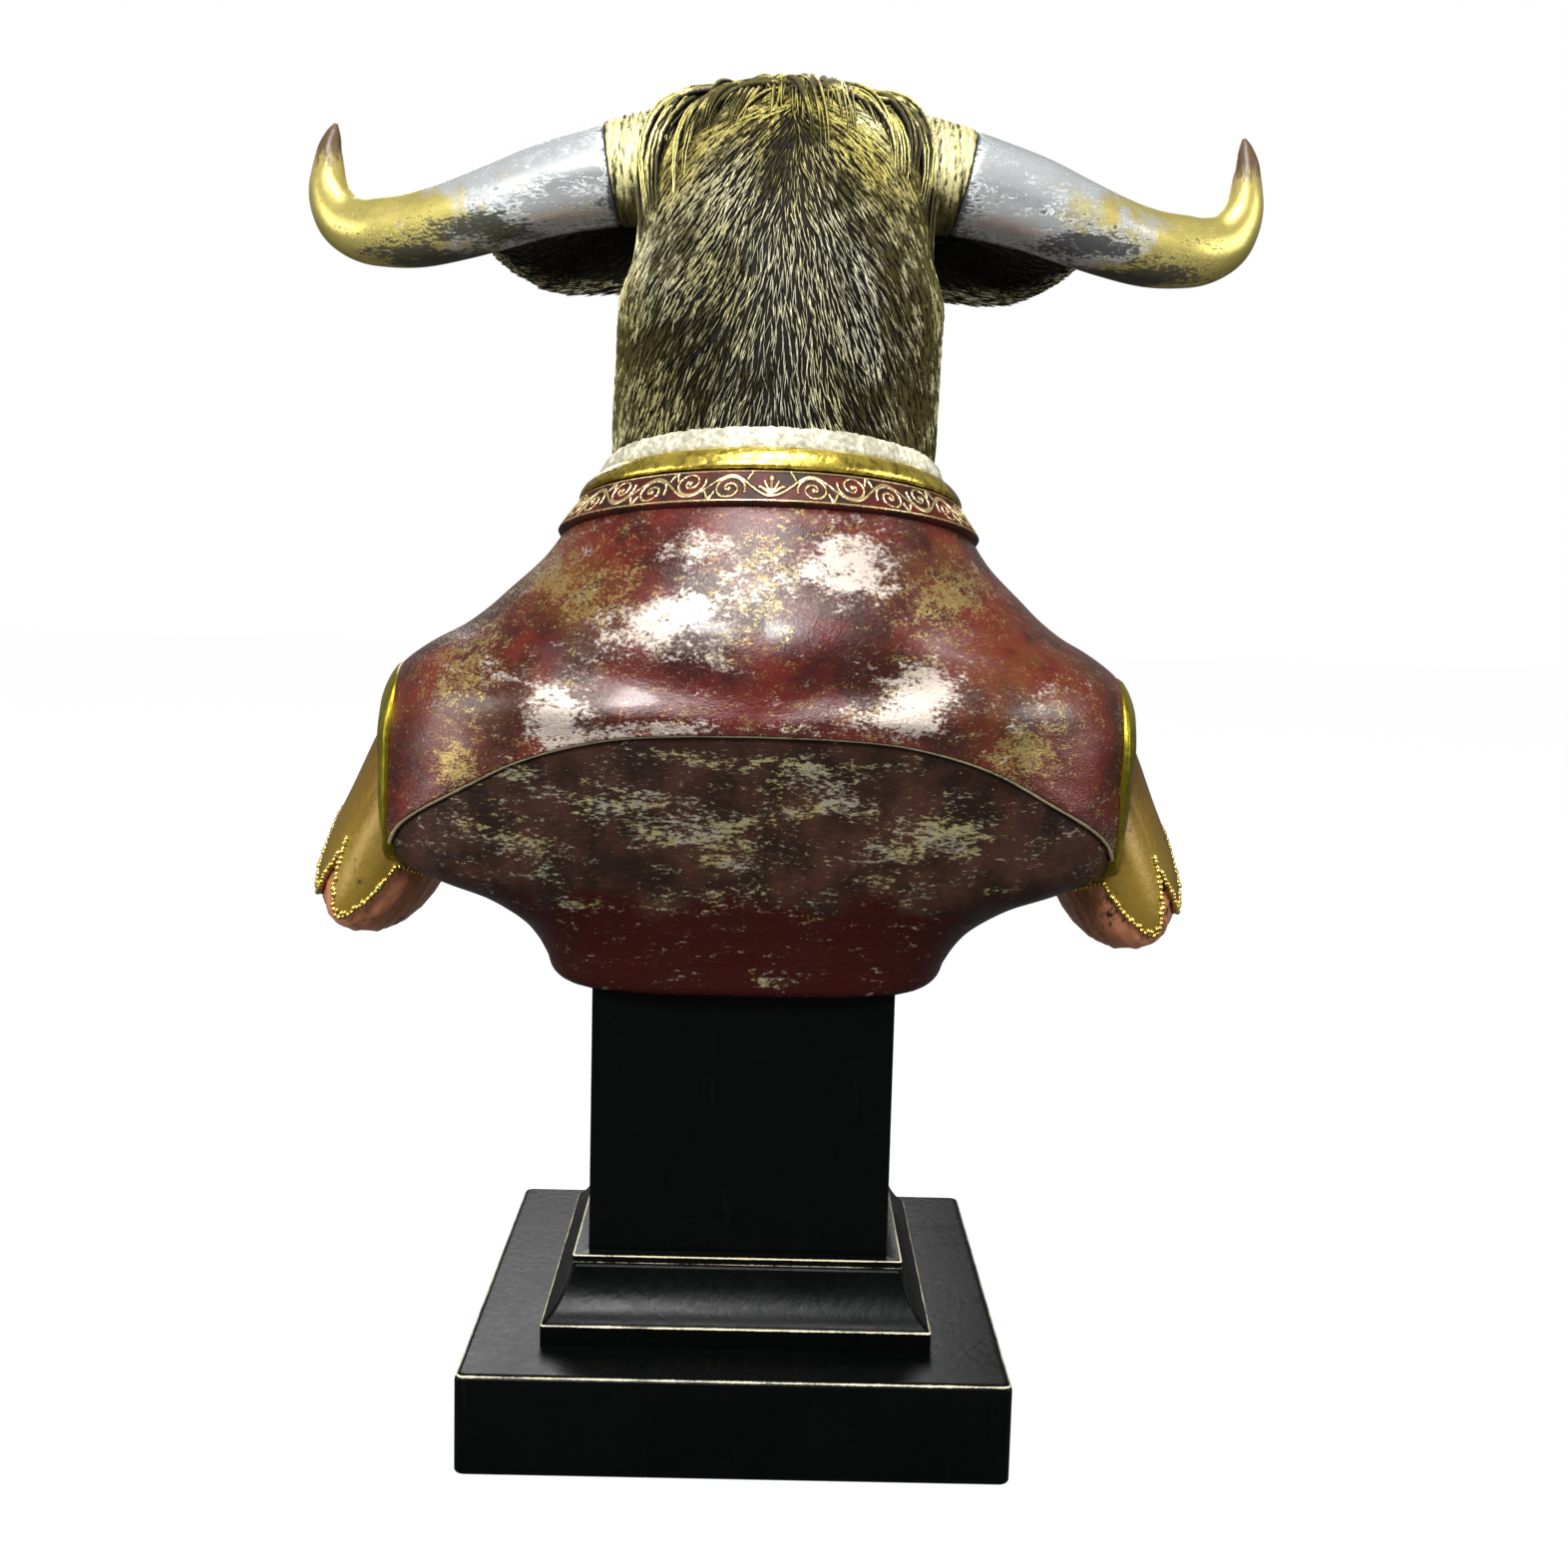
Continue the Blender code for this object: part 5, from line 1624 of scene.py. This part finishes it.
@dataclass
class Head:
    """The head's skin, its eyes, and the fur: short strokes all over it and long locks from the poll."""

    form: HeadForm = field(default_factory=HeadForm)
    trunk: TrunkForm = field(default_factory=TrunkForm)
    seed: int = 17
    nape_spacing: float = 2.25
    face_spacing: float = 3.0

    def skin_rings(self) -> Array:
        """The grid of rays that meet the head."""
        stages = np.concatenate(
            [np.linspace(0, 1, 16)[:-1], np.linspace(1, 2, 170), 2 + np.linspace(0, 1, 34)[1:-1]]
        )
        return self.form.points(stages[:, None], full_turn(224)[None, :])

    def bareness(self, points: Array) -> Array:
        """1 on the bare skin of the muzzle and round the mouth, 0 in the fur."""
        local = self.form.to_head(points)
        pad = smooth_step(local[..., 0] + 0.25 * local[..., 1], 134, 141)
        lips = np.exp(-(((local[..., 1] + 18) / 5) ** 2)) * smooth_step(local[..., 0], 104, 116)
        return np.maximum(pad, lips)

    def way(self, points: Array, facing: Array) -> Array:
        """Which way the fur lies: down, and outwards from the parting, more so high on the nape; back under
        the jaw. It is made to lie in the surface."""
        fan = curve_through(points[..., 2], (340, 380, 440, 490), (0.013, 0.017, 0.026, 0.036))
        behind = smooth_step(points[..., 1], -40, 0)
        x = points[..., 0] * fan * behind + 0.16 * ripple(points, 34.0, 41)
        y = 0.45 * smooth_step(-points[..., 1], 40, 70) * smooth_step(-facing[..., 2], -0.2, 0.6)
        way = np.stack([x, y + 0 * x, -np.ones_like(x)], axis=-1)
        return unit(way - (way * facing).sum(axis=-1, keepdims=True) * facing)

    def scattered(self, rings: Array, spacing: float, keep: Callable[[Array], Array], rng: Any) -> Array:
        """Points strewn evenly over the skin: picked by the area of the grid's cells, then one kept in each
        cube.

        Args:
            rings: The skin's grid.
            spacing: The cube's side.
            keep: Says which points are wanted.
            rng: The random numbers.

        Returns:
            Carved points.
        """
        a, b = rings[:-1], np.roll(rings, -1, axis=1)[:-1]
        c, d = rings[1:], np.roll(rings, -1, axis=1)[1:]
        area = np.linalg.norm(np.cross(b - a, c - a), axis=-1).reshape(-1)
        count = int(area.sum() / spacing**2 * 9)
        cell = np.searchsorted(np.cumsum(area), rng.random(count) * area.sum()).clip(0, area.size - 1)
        s, t = rng.random((count, 1)), rng.random((count, 1))
        a, b, c, d = (v.reshape(-1, 3)[cell] for v in (a, b, c, d))
        found = (a * (1 - s) + b * s) * (1 - t) + (c * (1 - s) + d * s) * t
        found = found[keep(found)]
        picked = np.unique(np.floor(found / spacing).astype(int), axis=0, return_index=True)[1]
        return found[picked]

    def combed(self, starts: Array, steps: int, length: Array, rng: Any) -> tuple[Array, Array]:
        """Walks along the fur from each start, settling on the skin at each step.

        Args:
            starts: Where the strokes start.
            steps: How many points each has.
            length: How long each is.
            rng: The random numbers.

        Returns:
            The paths, and the way that the skin faces along them.
        """
        astray = rng.normal(0, 0.13, len(starts))[:, None]
        paths, ups, at = [], [], starts
        for _ in range(steps):
            at, facing = self.form.settle(at)
            way = self.way(at, facing)
            way = np.cos(astray) * way + np.sin(astray) * np.cross(facing, way)
            paths.append(at)
            ups.append(facing)
            at = at + way * (length / (steps - 1))[:, None]
        return np.stack(paths, axis=1), np.stack(ups, axis=1)

    def warmth(self, points: Array) -> Array:
        """How golden the rubbed paint is: more at the poll, by the horns and in patches, and silvery down
        the nape."""
        side = smooth_step(np.abs(points[..., 0]), 22, 58)
        high = smooth_step(points[..., 2], 440, 492)
        return np.clip(0.15 + 0.4 * side + 0.8 * high + 0.25 * ripple(points, 45.0, 51), 0, 1)

    def strokes(self, starts: Array, length: float, width: float, height: float, rng: Any) -> Surface:
        """Short strokes of fur as sunk ridges.

        Args:
            starts: Where they start.
            length: Their mean length.
            width: Their mean width.
            height: How high their crests stand.
            rng: The random numbers.

        Returns:
            The strokes.
        """
        count = len(starts)
        lengths = length * rng.uniform(0.7, 1.35, count)
        paths, ups = self.combed(starts, 4, lengths, rng)
        size = rng.uniform(0.75, 1.3, (count, 1))
        tall = height * size * rng.uniform(0.7, 1.3, (count, 1)) * np.array([0.3, 1.0, 0.95, 0.35])
        made = tapers(
            paths, ups, width * size * np.array([0.55, 1.0, 0.9, 0.35]), tall,
            np.array([0.55, 1.0, 1.0, 0.7]),
            np.clip(rng.normal(0.5, 0.28, count) + 0.18 * ripple(paths[:, 0], 30.0, 61), 0, 1),
        )
        return self.dressed(made)

    def dressed(self, made: Surface) -> Surface:
        """Gives fur its warmth, light and bare marks, and places it. The light mark is a painted highlight,
        taken from the fur's highlight dabs.
        """
        made.marks["warmth"] = self.warmth(made.points)
        made.marks["bare"] = np.zeros(len(made.points))
        made.marks["light"] = dabbed(place(made.points), FUR_HIGHLIGHT_DABS)
        return made.placed()

    def skin(self, rings: Array) -> Surface:
        """The skin under the fur, dark but for the muzzle."""
        bare = self.bareness(rings)
        crest = 0.12 + 0.3 * bare
        marks = {
            "bare": bare, "crest": crest, "tone": 0 * bare + 0.3, "warmth": self.warmth(rings),
            "light": 0 * bare
        }
        rings = rings + grid_normals(rings) * ((1 - bare) * 0.16 * ripple(rings, 2.6, 71) - 0.1)[..., None]
        return Surface.from_rings(place(rings), marks)

    def wanted(self, behind: bool) -> Callable[[Array], Array]:
        """Which starts are wanted on the nape or on the face: above the collar, off the muzzle and the
        eyes."""

        def keep(points: Array) -> Array:
            """The test for whole arrays of points."""
            turn = np.arctan2(points[:, 0], points[:, 1])
            above = points[:, 2] > self.trunk.collar_height(turn) + 24
            local = self.form.to_head(points)
            off_eye = np.linalg.norm(local - np.array(self.form.eye), axis=1) > 14.5
            back = points[:, 1] + 0.25 * (points[:, 2] - 400) > -16
            return above & off_eye & (self.bareness(points) < 0.3) & (back == behind)

        return keep

    def locks(self, rng: Any) -> Surface:
        """Locks from the parting on the poll, each a clump whose strands meet at its end: they sweep to the
        sides, then fall. On the head's own grid the turn grows with a root of the way, and the stage with a
        power of it."""
        share = np.linspace(0, 1, 10)
        paths, ups, tone = [], [], []
        groups = [(1.56, 1.5 * i, 1.445 - 0.0035 * abs(i), 4.4 * i) for i in range(-14, 15)]
        groups += [(1.53, 1.5 * i, 1.475 - 0.004 * abs(i), 4.1 * i + 1.5) for i in range(-13, 13)]
        groups += [(1.55, 6.0 * i, 1.84 - 0.03 * abs(i), 9.0 * i) for i in range(-4, 5)]
        for from_stage, from_turn, to_stage, to_turn in groups:
            count = 8
            spread = np.linspace(-1, 1, count)[:, None]
            from_stages = from_stage + rng.normal(0, 0.016, (count, 1))
            to_stages = to_stage + rng.normal(0, 0.03) + 0.022 * spread**2 + rng.normal(
                0, 0.008, (count, 1)
            )
            from_turns = from_turn + rng.normal(0, 3.0) + 3.2 * spread + rng.normal(0, 0.8, (count, 1))
            to_turns = to_turn + rng.normal(0, 2.5) + 1.9 * spread + rng.normal(0, 0.7, (count, 1))
            stage = from_stages + (to_stages - from_stages) * share**1.5
            turn = np.radians(from_turns + (to_turns - from_turns) * share**0.7)
            settled, facing = self.form.settle(self.form.points(stage, turn))
            corner = 0.6 + 1.5 * np.exp(-(((np.abs(turn) - math.radians(34)) / math.radians(15)) ** 2))
            lift = rng.uniform(0.6, 4.0) + (1 - spread**2) * 1.3 + rng.uniform(-0.3, 0.3, (count, 1))
            lift = lift * corner * np.sin(math.pi * (0.12 + 0.8 * share)) ** 0.7
            paths.append(settled + lift[..., None] * facing)
            ups.append(facing)
            tone.append(np.clip(rng.normal(0.55, 0.3) + rng.normal(0, 0.2, count), 0, 1))
        paths, ups, tone = np.concatenate(paths), np.concatenate(ups), np.concatenate(tone)
        body = np.array([0.5, 0.9, 1, 1, 1, 0.95, 0.85, 0.7, 0.45, 0.15])
        wide = rng.uniform(1.0, 2.2, (len(paths), 1)) * body
        return self.dressed(tapers(paths, ups, wide, 0.8 * wide, np.ones(10), tone, 4))

    def eyes(self) -> tuple[Surface, Surface]:
        """The eyeballs, and the lids as almond rings round them: a small circle carried round an
        ellipse."""
        turn, rise = full_turn(40), np.radians(np.linspace(-85, 85, 22))
        middle = self.form.from_head(*(np.array(v) for v in self.form.eye))
        ball = np.stack(
            [
                np.sin(rise)[:, None] + 0 * turn, np.cos(rise)[:, None] * np.cos(turn),
                np.cos(rise)[:, None] * np.sin(turn),
            ],
            axis=-1,
        )
        balls = Surface.from_rings(middle + (self.form.eye_radius - 0.6) * ball)
        round_eye, tube = full_turn(72)[:, None], full_turn(12)[None]
        along = self.form.eye[0] + (9.6 + 1.9 * np.cos(tube)) * np.cos(round_eye)
        above = self.form.eye[1] + (6.4 + 1.9 * np.cos(tube)) * np.sin(round_eye) + 1.0 * np.cos(
            round_eye
        ) ** 2
        side = self.form.eye[2] + 5.6 - 2.6 * np.cos(round_eye) ** 2 + 1.9 * np.sin(tube)
        return balls, Surface.from_rings(self.form.from_head(along, above, side), loop=True)

    def build(self, shop: Finishes) -> None:
        """Makes the skin, the fur, the locks and the eyes."""
        fur = shop.of(FurPaint())
        rng = np.random.default_rng(self.seed)
        rings = self.skin_rings()
        self.skin(rings).make("head", fur, Slot.RESIN)
        nape = self.scattered(rings, self.nape_spacing, self.wanted(True), rng)
        self.strokes(nape, 8.5, 1.15, 0.9, rng).make("fur_nape", fur, Slot.RESIN, (), 60.0)
        face = self.scattered(rings, self.face_spacing, self.wanted(False), rng)
        self.strokes(face, 7.5, 1.7, 0.7, rng).make("fur_face", fur, Slot.RESIN, (), 60.0)
        self.locks(rng).make("poll_locks", fur, Slot.RESIN, (), 60.0)
        balls, lids = self.eyes()
        still = np.zeros(len(lids.points))
        lids = Surface(lids.points, lids.faces, {"crest": still + 0.5, "tone": still + 0.4})
        for name, made, finish in (("eyes", balls, shop.of(EyePaint())), ("eyelids", lids, fur)):
            left, right = (made.on_side(side).outward() for side in Side)
            pair = left.with_others(right)
            (self.dressed(pair) if finish == fur else pair.placed()).make(name, finish, Slot.RESIN)


@dataclass
class Ear:
    """A leaf-shaped ear, rounded behind and scooped out in front, with its fur."""

    # Way out from the head, height, forward, half height, half thickness
    sections: tuple[tuple[float, ...], ...] = (
        (40, 450, -50, 11, 9), (56, 452, -57, 12.5, 8), (70, 452.5, -62, 13.8, 6.5),
        (86, 452.8, -67.5, 14.2, 5.4),
        (100, 454, -72.5, 12.8, 4.6), (112, 457, -76.5, 9.8, 3.6), (121, 459.5, -79.5, 5.6, 2.6),
        (126.5, 461, -81, 1.5, 1.2),
    )

    def points(self, at: Array, turn: Array) -> Array:
        """Points of the ear: ovals along it, their front pulled in between the rims.

        Args:
            at: The section's number, also between sections.
            turn: The turn round it, 0 on its upper rim and 90 degrees behind.

        Returns:
            Carved points.
        """
        out, height, fore, tall, thick = np.moveaxis(through_sections(at, np.array(self.sections)), -1, 0)
        front = np.clip(-np.sin(turn), 0, 1)
        scoop = 1.25 * np.minimum(1.0, tall / 12) * smooth_step(tall, 3, 6)
        y = fore + thick * np.sin(turn) + scoop * thick * front * (1 - np.abs(np.cos(turn)))
        y = y - 0.16 * tall * np.cos(turn) ** 2
        return np.stack([out + 0 * y, y, height + tall * np.cos(turn)], axis=-1)

    def fur(self, rng: Any) -> Surface:
        """Strokes along the ear, longer on its lower rim where they hang, and darker up the ear as painted
        shade under the horn.
        """
        count = 1500
        at, turn = rng.uniform(0.3, 6.3, (count, 1)), rng.uniform(-0.6, 3.9, (count, 1))
        low = smooth_step(-np.cos(turn), 0.3, 1.0)
        share = np.linspace(0, 1, 4)
        ats = np.minimum(at + 0.55 * share, 6.95)
        turns = turn + (rng.normal(0, 0.1, (count, 1)) + 0.25) * share * np.where(turn < math.pi, 1, -1) * (
            1 - low
        )
        paths = self.points(ats, turns)
        across = self.points(ats, turns + 0.03) - paths
        ups = unit(np.cross(across, np.gradient(paths, axis=1)))
        ups *= np.sign((ups * np.stack([0 * ats, np.sin(turns), np.cos(turns)], -1)).sum(-1, keepdims=True))
        droop = (low * share**1.5 * rng.uniform(0, 1.8, (count, 1)))[..., None] * np.array([0.4, 0.2, -1.0])
        width = rng.uniform(0.8, 1.5, (count, 1)) * np.array([0.6, 1, 0.85, 0.3])
        # Painted shade: tone and crest are lower away from the lower rim, darkening the upper ear under the
        # horn.
        tone = np.clip(rng.normal(0.5, 0.28, count) + 0.4 * low[:, 0], 0, 1)
        crest = np.array([0.4, 0.9, 1.0, 0.7]) * (0.65 + 0.35 * low)
        return tapers(paths + droop, ups, width, 0.4 * width, crest, tone)

    def build(self, shop: Finishes) -> None:
        """Makes both ears."""
        fur = shop.of(FurPaint())
        at, turn = np.linspace(0, 7, 90)[:, None], full_turn(72)[None]
        rings = self.points(at + 0 * turn, turn + 0 * at)
        leaf = Surface.from_rings(
            rings, {"crest": 0.2 + 0.1 * np.sin(turn) + 0 * at, "tone": 0 * at + 0.2 + 0 * turn}
        )
        rng = np.random.default_rng(77)
        for side in Side:
            whole = leaf.outward().with_others(self.fur(rng).outward()).on_side(side).placed()
            still = np.zeros(len(whole.points))
            whole.marks.update(warmth=still + 0.4, bare=still, light=still + 0.3)
            whole.make("ear_" + side.name.lower(), fur, Slot.RESIN, (), 60.0)


@dataclass
class Horn:
    """A horn and the wrinkled skin that sheathes its root."""

    # Way out, forward, height and radius
    line: tuple[tuple[float, ...], ...] = (
        (40, -34, 483, 22.0), (56, -34, 482.2, 21.2), (70, -34.5, 480.4, 20.4), (95, -36, 474.5, 18.5),
        (113, -37, 468.3, 17.1), (131, -39, 462.3, 15.9), (149, -42, 458, 14.9), (164.5, -44, 457.2, 13.6),
        (177, -47, 460.5, 11.7), (184.3, -49, 468.5, 9.6), (187, -50, 478, 7.5), (187.2, -51, 488, 5.5),
        (185.9, -51, 496, 3.2), (184.8, -51, 500.5, 0.8),
    )
    # The right horn's upturned end stands a little higher than the left's
    right_rise: float = 4.0
    seam: int = 2

    def points(self, at: Array, turn: Array, share: Array | float) -> Array:
        """Points of the horn: circles square to a smooth line.

        Args:
            at: The numbers of the line's points, also between them, down a column.
            turn: The turn round it, along a row.
            share: The radius as a share of the horn's.

        Returns:
            Carved points.
        """
        table = np.array(self.line)
        along = unit(through_sections(at + 0.05, table[:, :3]) - through_sections(at - 0.05, table[:, :3]))
        read = through_sections(at, table)
        side = unit(np.array([0.0, 1.0, 0.0]) - along[..., 1:2] * along)
        up = np.cross(along, side)
        circle = np.cos(turn)[..., None] * side + np.sin(turn)[..., None] * up
        return read[..., :3] + (read[..., 3] * share)[..., None] * circle

    def horn(self, side: Side) -> Surface:
        """The horn from its seam to its tip, with faint long swellings."""
        turn = full_turn(96)[None]
        at = self.seam + (np.linspace(0, 1, 230) ** 0.96 * (len(self.line) - 1.02 - self.seam))[:, None]
        at, turn = np.broadcast_arrays(at, turn)
        plain = self.points(at, turn, 1.0)
        swell = 1 + 0.008 * ripple(plain * (0.4, 1, 1), 16.0, 81) - 0.02 * smooth_step(-at, -2.12, -2.0)
        rings = self.points(at, turn, swell)
        along = (at - self.seam) / (len(self.line) - 1 - self.seam)
        if side is Side.RIGHT:
            high = np.clip((rings[..., 2] - 460) / 40, 0, 1)
            rings[..., 2] += self.right_rise * high * smooth_step(rings[..., 0], 140, 166)
        # Painted shade: the dark scratch mark is much heavier along the horn's underside.
        low = smooth_step(-np.sin(turn), -0.3, 0.6)
        patchy = 0.5 + 0.5 * ripple(rings * (0.5, 1, 1), 24.0, 83)
        scratch = 0.04 + (0.16 + 0.72 * low * patchy) * np.exp(
            -(((along - 0.30) / 0.2) ** 2)
        ) + 0.12 * patchy
        scratch = scratch + 0.34 * np.exp(-((at - self.seam) / 0.4) ** 2) * (0.3 + 0.7 * patchy)
        scratch = scratch + 0.5 * np.exp(-((at - self.seam) / 0.05) ** 2) + 0.35 * smooth_step(
            along, 0.84, 1.0
        )
        return Surface.from_rings(rings, {"along": along, "scratch": scratch}).on_side(side).placed()

    def sheath(self) -> Surface:
        """The skin over the root, gathered in wrinkles that run round the horn."""
        turn = full_turn(144)[None]
        at = np.linspace(0.1, self.seam, 110)[:, None]
        at, turn = np.broadcast_arrays(at, turn)
        plain = self.points(at, turn, 1.03)
        wrinkle = ripple(plain * (1, 0.07, 0.07), 2.6, 91) + 0.6 * ripple(plain * (1, 0.2, 0.2), 1.3, 92)
        swell = 1.012 + 0.012 * wrinkle - 0.035 * smooth_step(at, 1.9, 2.0)
        rings = self.points(at, turn, swell + 0.08 * (1 - at / self.seam))
        rings[..., 1] += 5.0 * (1 - at / self.seam)
        rings[-1] -= JOINT_GAP * unit(np.array(self.line[3][:3]) - np.array(self.line[1][:3]))
        crest = np.clip(0.82 + 0.2 * wrinkle, 0, 1) * (1 - 0.5 * smooth_step(at, 1.95, 1.99))
        # Painted light: the sheath's underside gets a lower tone and less pale rub as painted shade, and its
        # top gets more as painted highlight.
        under = smooth_step(-np.sin(turn), 0.1, 0.9)
        marks = {
            "crest": crest, "tone": 0.9 - 0.4 * under, "warmth": 0.68 + 0 * at, "bare": 0 * at,
            "light": 0.25 - 0.45 * under,
        }
        return Surface.from_rings(rings, marks)

    def build(self, shop: Finishes) -> None:
        """Makes both horns, which stand for their CAD nodes, and both sheaths."""
        paint, fur = shop.of(HornPaint()), shop.of(FurPaint())
        for side in Side:
            tail = side.name.lower()
            self.horn(side).make("horn_" + tail, paint, Slot.HORN, (tail + "_horn",))
            self.sheath().on_side(side).placed().make("sheath_" + tail, fur, Slot.RESIN)


@dataclass
class Studio:
    """The camera at the photograph's angle, a pale floor and soft light."""

    eye: tuple[float, float, float] = (-0.005227, 0.734840, 0.330245)
    pitch: float = math.radians(6.9301)
    yaw: float = math.radians(0.6539)
    roll: float = math.radians(1.4612)
    lens: float = 42.803

    def camera(self) -> None:
        """Sets the camera: pitched down, yawed and rolled from a level view along -Y."""
        right = Vector((-math.cos(self.yaw), math.sin(self.yaw), 0))
        level = Vector((-math.sin(self.yaw), -math.cos(self.yaw), 0))
        ahead = level * math.cos(self.pitch) - Vector((0, 0, 1)) * math.sin(self.pitch)
        up = Vector((0, 0, 1)) * math.cos(self.pitch) + level * math.sin(self.pitch)
        c, s = math.cos(self.roll), math.sin(self.roll)
        x, y = c * right + s * up, c * up - s * right
        data = bpy.data.cameras.new("photo_camera")
        data.lens, data.sensor_width, data.clip_start = self.lens, 36.0, 0.01
        camera = bpy.data.objects.new("photo_camera", data)
        bpy.context.scene.collection.objects.link(camera)
        turned = Matrix((x, y, -ahead)).transposed().to_4x4()
        camera.matrix_world = Matrix.Translation(self.eye) @ turned
        bpy.context.scene.camera = camera

    def lamp(self, name: str, at: Sequence[float], size: float, power: float, aim: float = 0.33) -> None:
        """Hangs a square soft light that faces the bust.

        Args:
            name: Its name.
            at: Where it hangs.
            size: Its side.
            power: Its watts.
            aim: The height that it faces.
        """
        data = bpy.data.lights.new(name, "AREA")
        data.size, data.energy = size, power
        lamp = bpy.data.objects.new(name, data)
        bpy.context.scene.collection.objects.link(lamp)
        lamp.location = at
        lamp.rotation_euler = (Vector((0, 0, aim)) - Vector(at)).to_track_quat("-Z", "Y").to_euler()

    def floor(self) -> None:
        """Lays the floor, pale to the eye and dim to the paint, so that black lacquer stays black."""
        mesh = bpy.data.meshes.new("floor")
        mesh.from_pydata([(-6, -6, 0), (6, -6, 0), (6, 6, 0), (-6, 6, 0)], [], [(0, 1, 2, 3)])
        paint = bpy.data.materials.new("pale floor")
        paint.use_nodes = True
        shader = paint.node_tree.nodes["Principled BSDF"]
        shader.inputs["Base Color"].default_value = (0.12, 0.12, 0.12, 1)
        shader.inputs["Roughness"].default_value = 0.9
        shader.inputs["Specular IOR Level"].default_value = 0.1
        shader.inputs["Emission Color"].default_value = (1, 1, 1, 1)
        work = Wiring(paint.node_tree)
        seen = work.add("LightPath").outputs["Is Camera Ray"]
        work.feed(shader.inputs["Emission Strength"], work.maths("MULTIPLY", seen, 0.96))
        mesh.materials.append(paint)
        floor = bpy.data.objects.new("floor", mesh)
        bpy.context.scene.collection.objects.link(floor)

    def sky(self) -> None:
        """A white surround to the eye, and a dimmer one to the paint."""
        world = bpy.data.worlds.new("studio")
        world.use_nodes = True
        bpy.context.scene.world = world
        work = Wiring(world.node_tree)
        back = world.node_tree.nodes["Background"]
        seen = work.add("LightPath").outputs["Is Camera Ray"]
        work.feed(back.inputs["Color"], (1.0, 1.0, 1.0))
        work.feed(back.inputs["Strength"], work.between(seen, 0.17, 1.0))

    def build(self) -> None:
        """Sets the camera, the floor and the lights."""
        self.camera()
        self.floor()
        self.sky()
        self.lamp("key", (0.25, 1.30, 1.20), 0.45, 32.0)
        self.lamp("top", (0.0, 0.40, 1.45), 0.5, 14.0)
        self.lamp("left_fill", (1.30, 0.55, 0.55), 0.7, 8.0)
        self.lamp("right_fill", (-1.30, 0.55, 0.75), 0.7, 10.0)
        self.lamp("front", (0.2, -1.6, 1.2), 0.9, 16.0)
        bpy.context.scene.view_settings.view_transform = "Standard"


def main() -> None:
    """Builds and dresses every piece in order, then the studio."""
    logging.basicConfig(level=logging.INFO, format="%(name)s: %(message)s")
    shop = Finishes()
    for maker in (Plinth(), Trunk(), Collar(), Sleeve(), Head(), Ear(), Horn()):
        LOG.info("building the %s", type(maker).__name__)
        maker.build(shop)
    Studio().build()


if __name__ == "__main__":
    main()
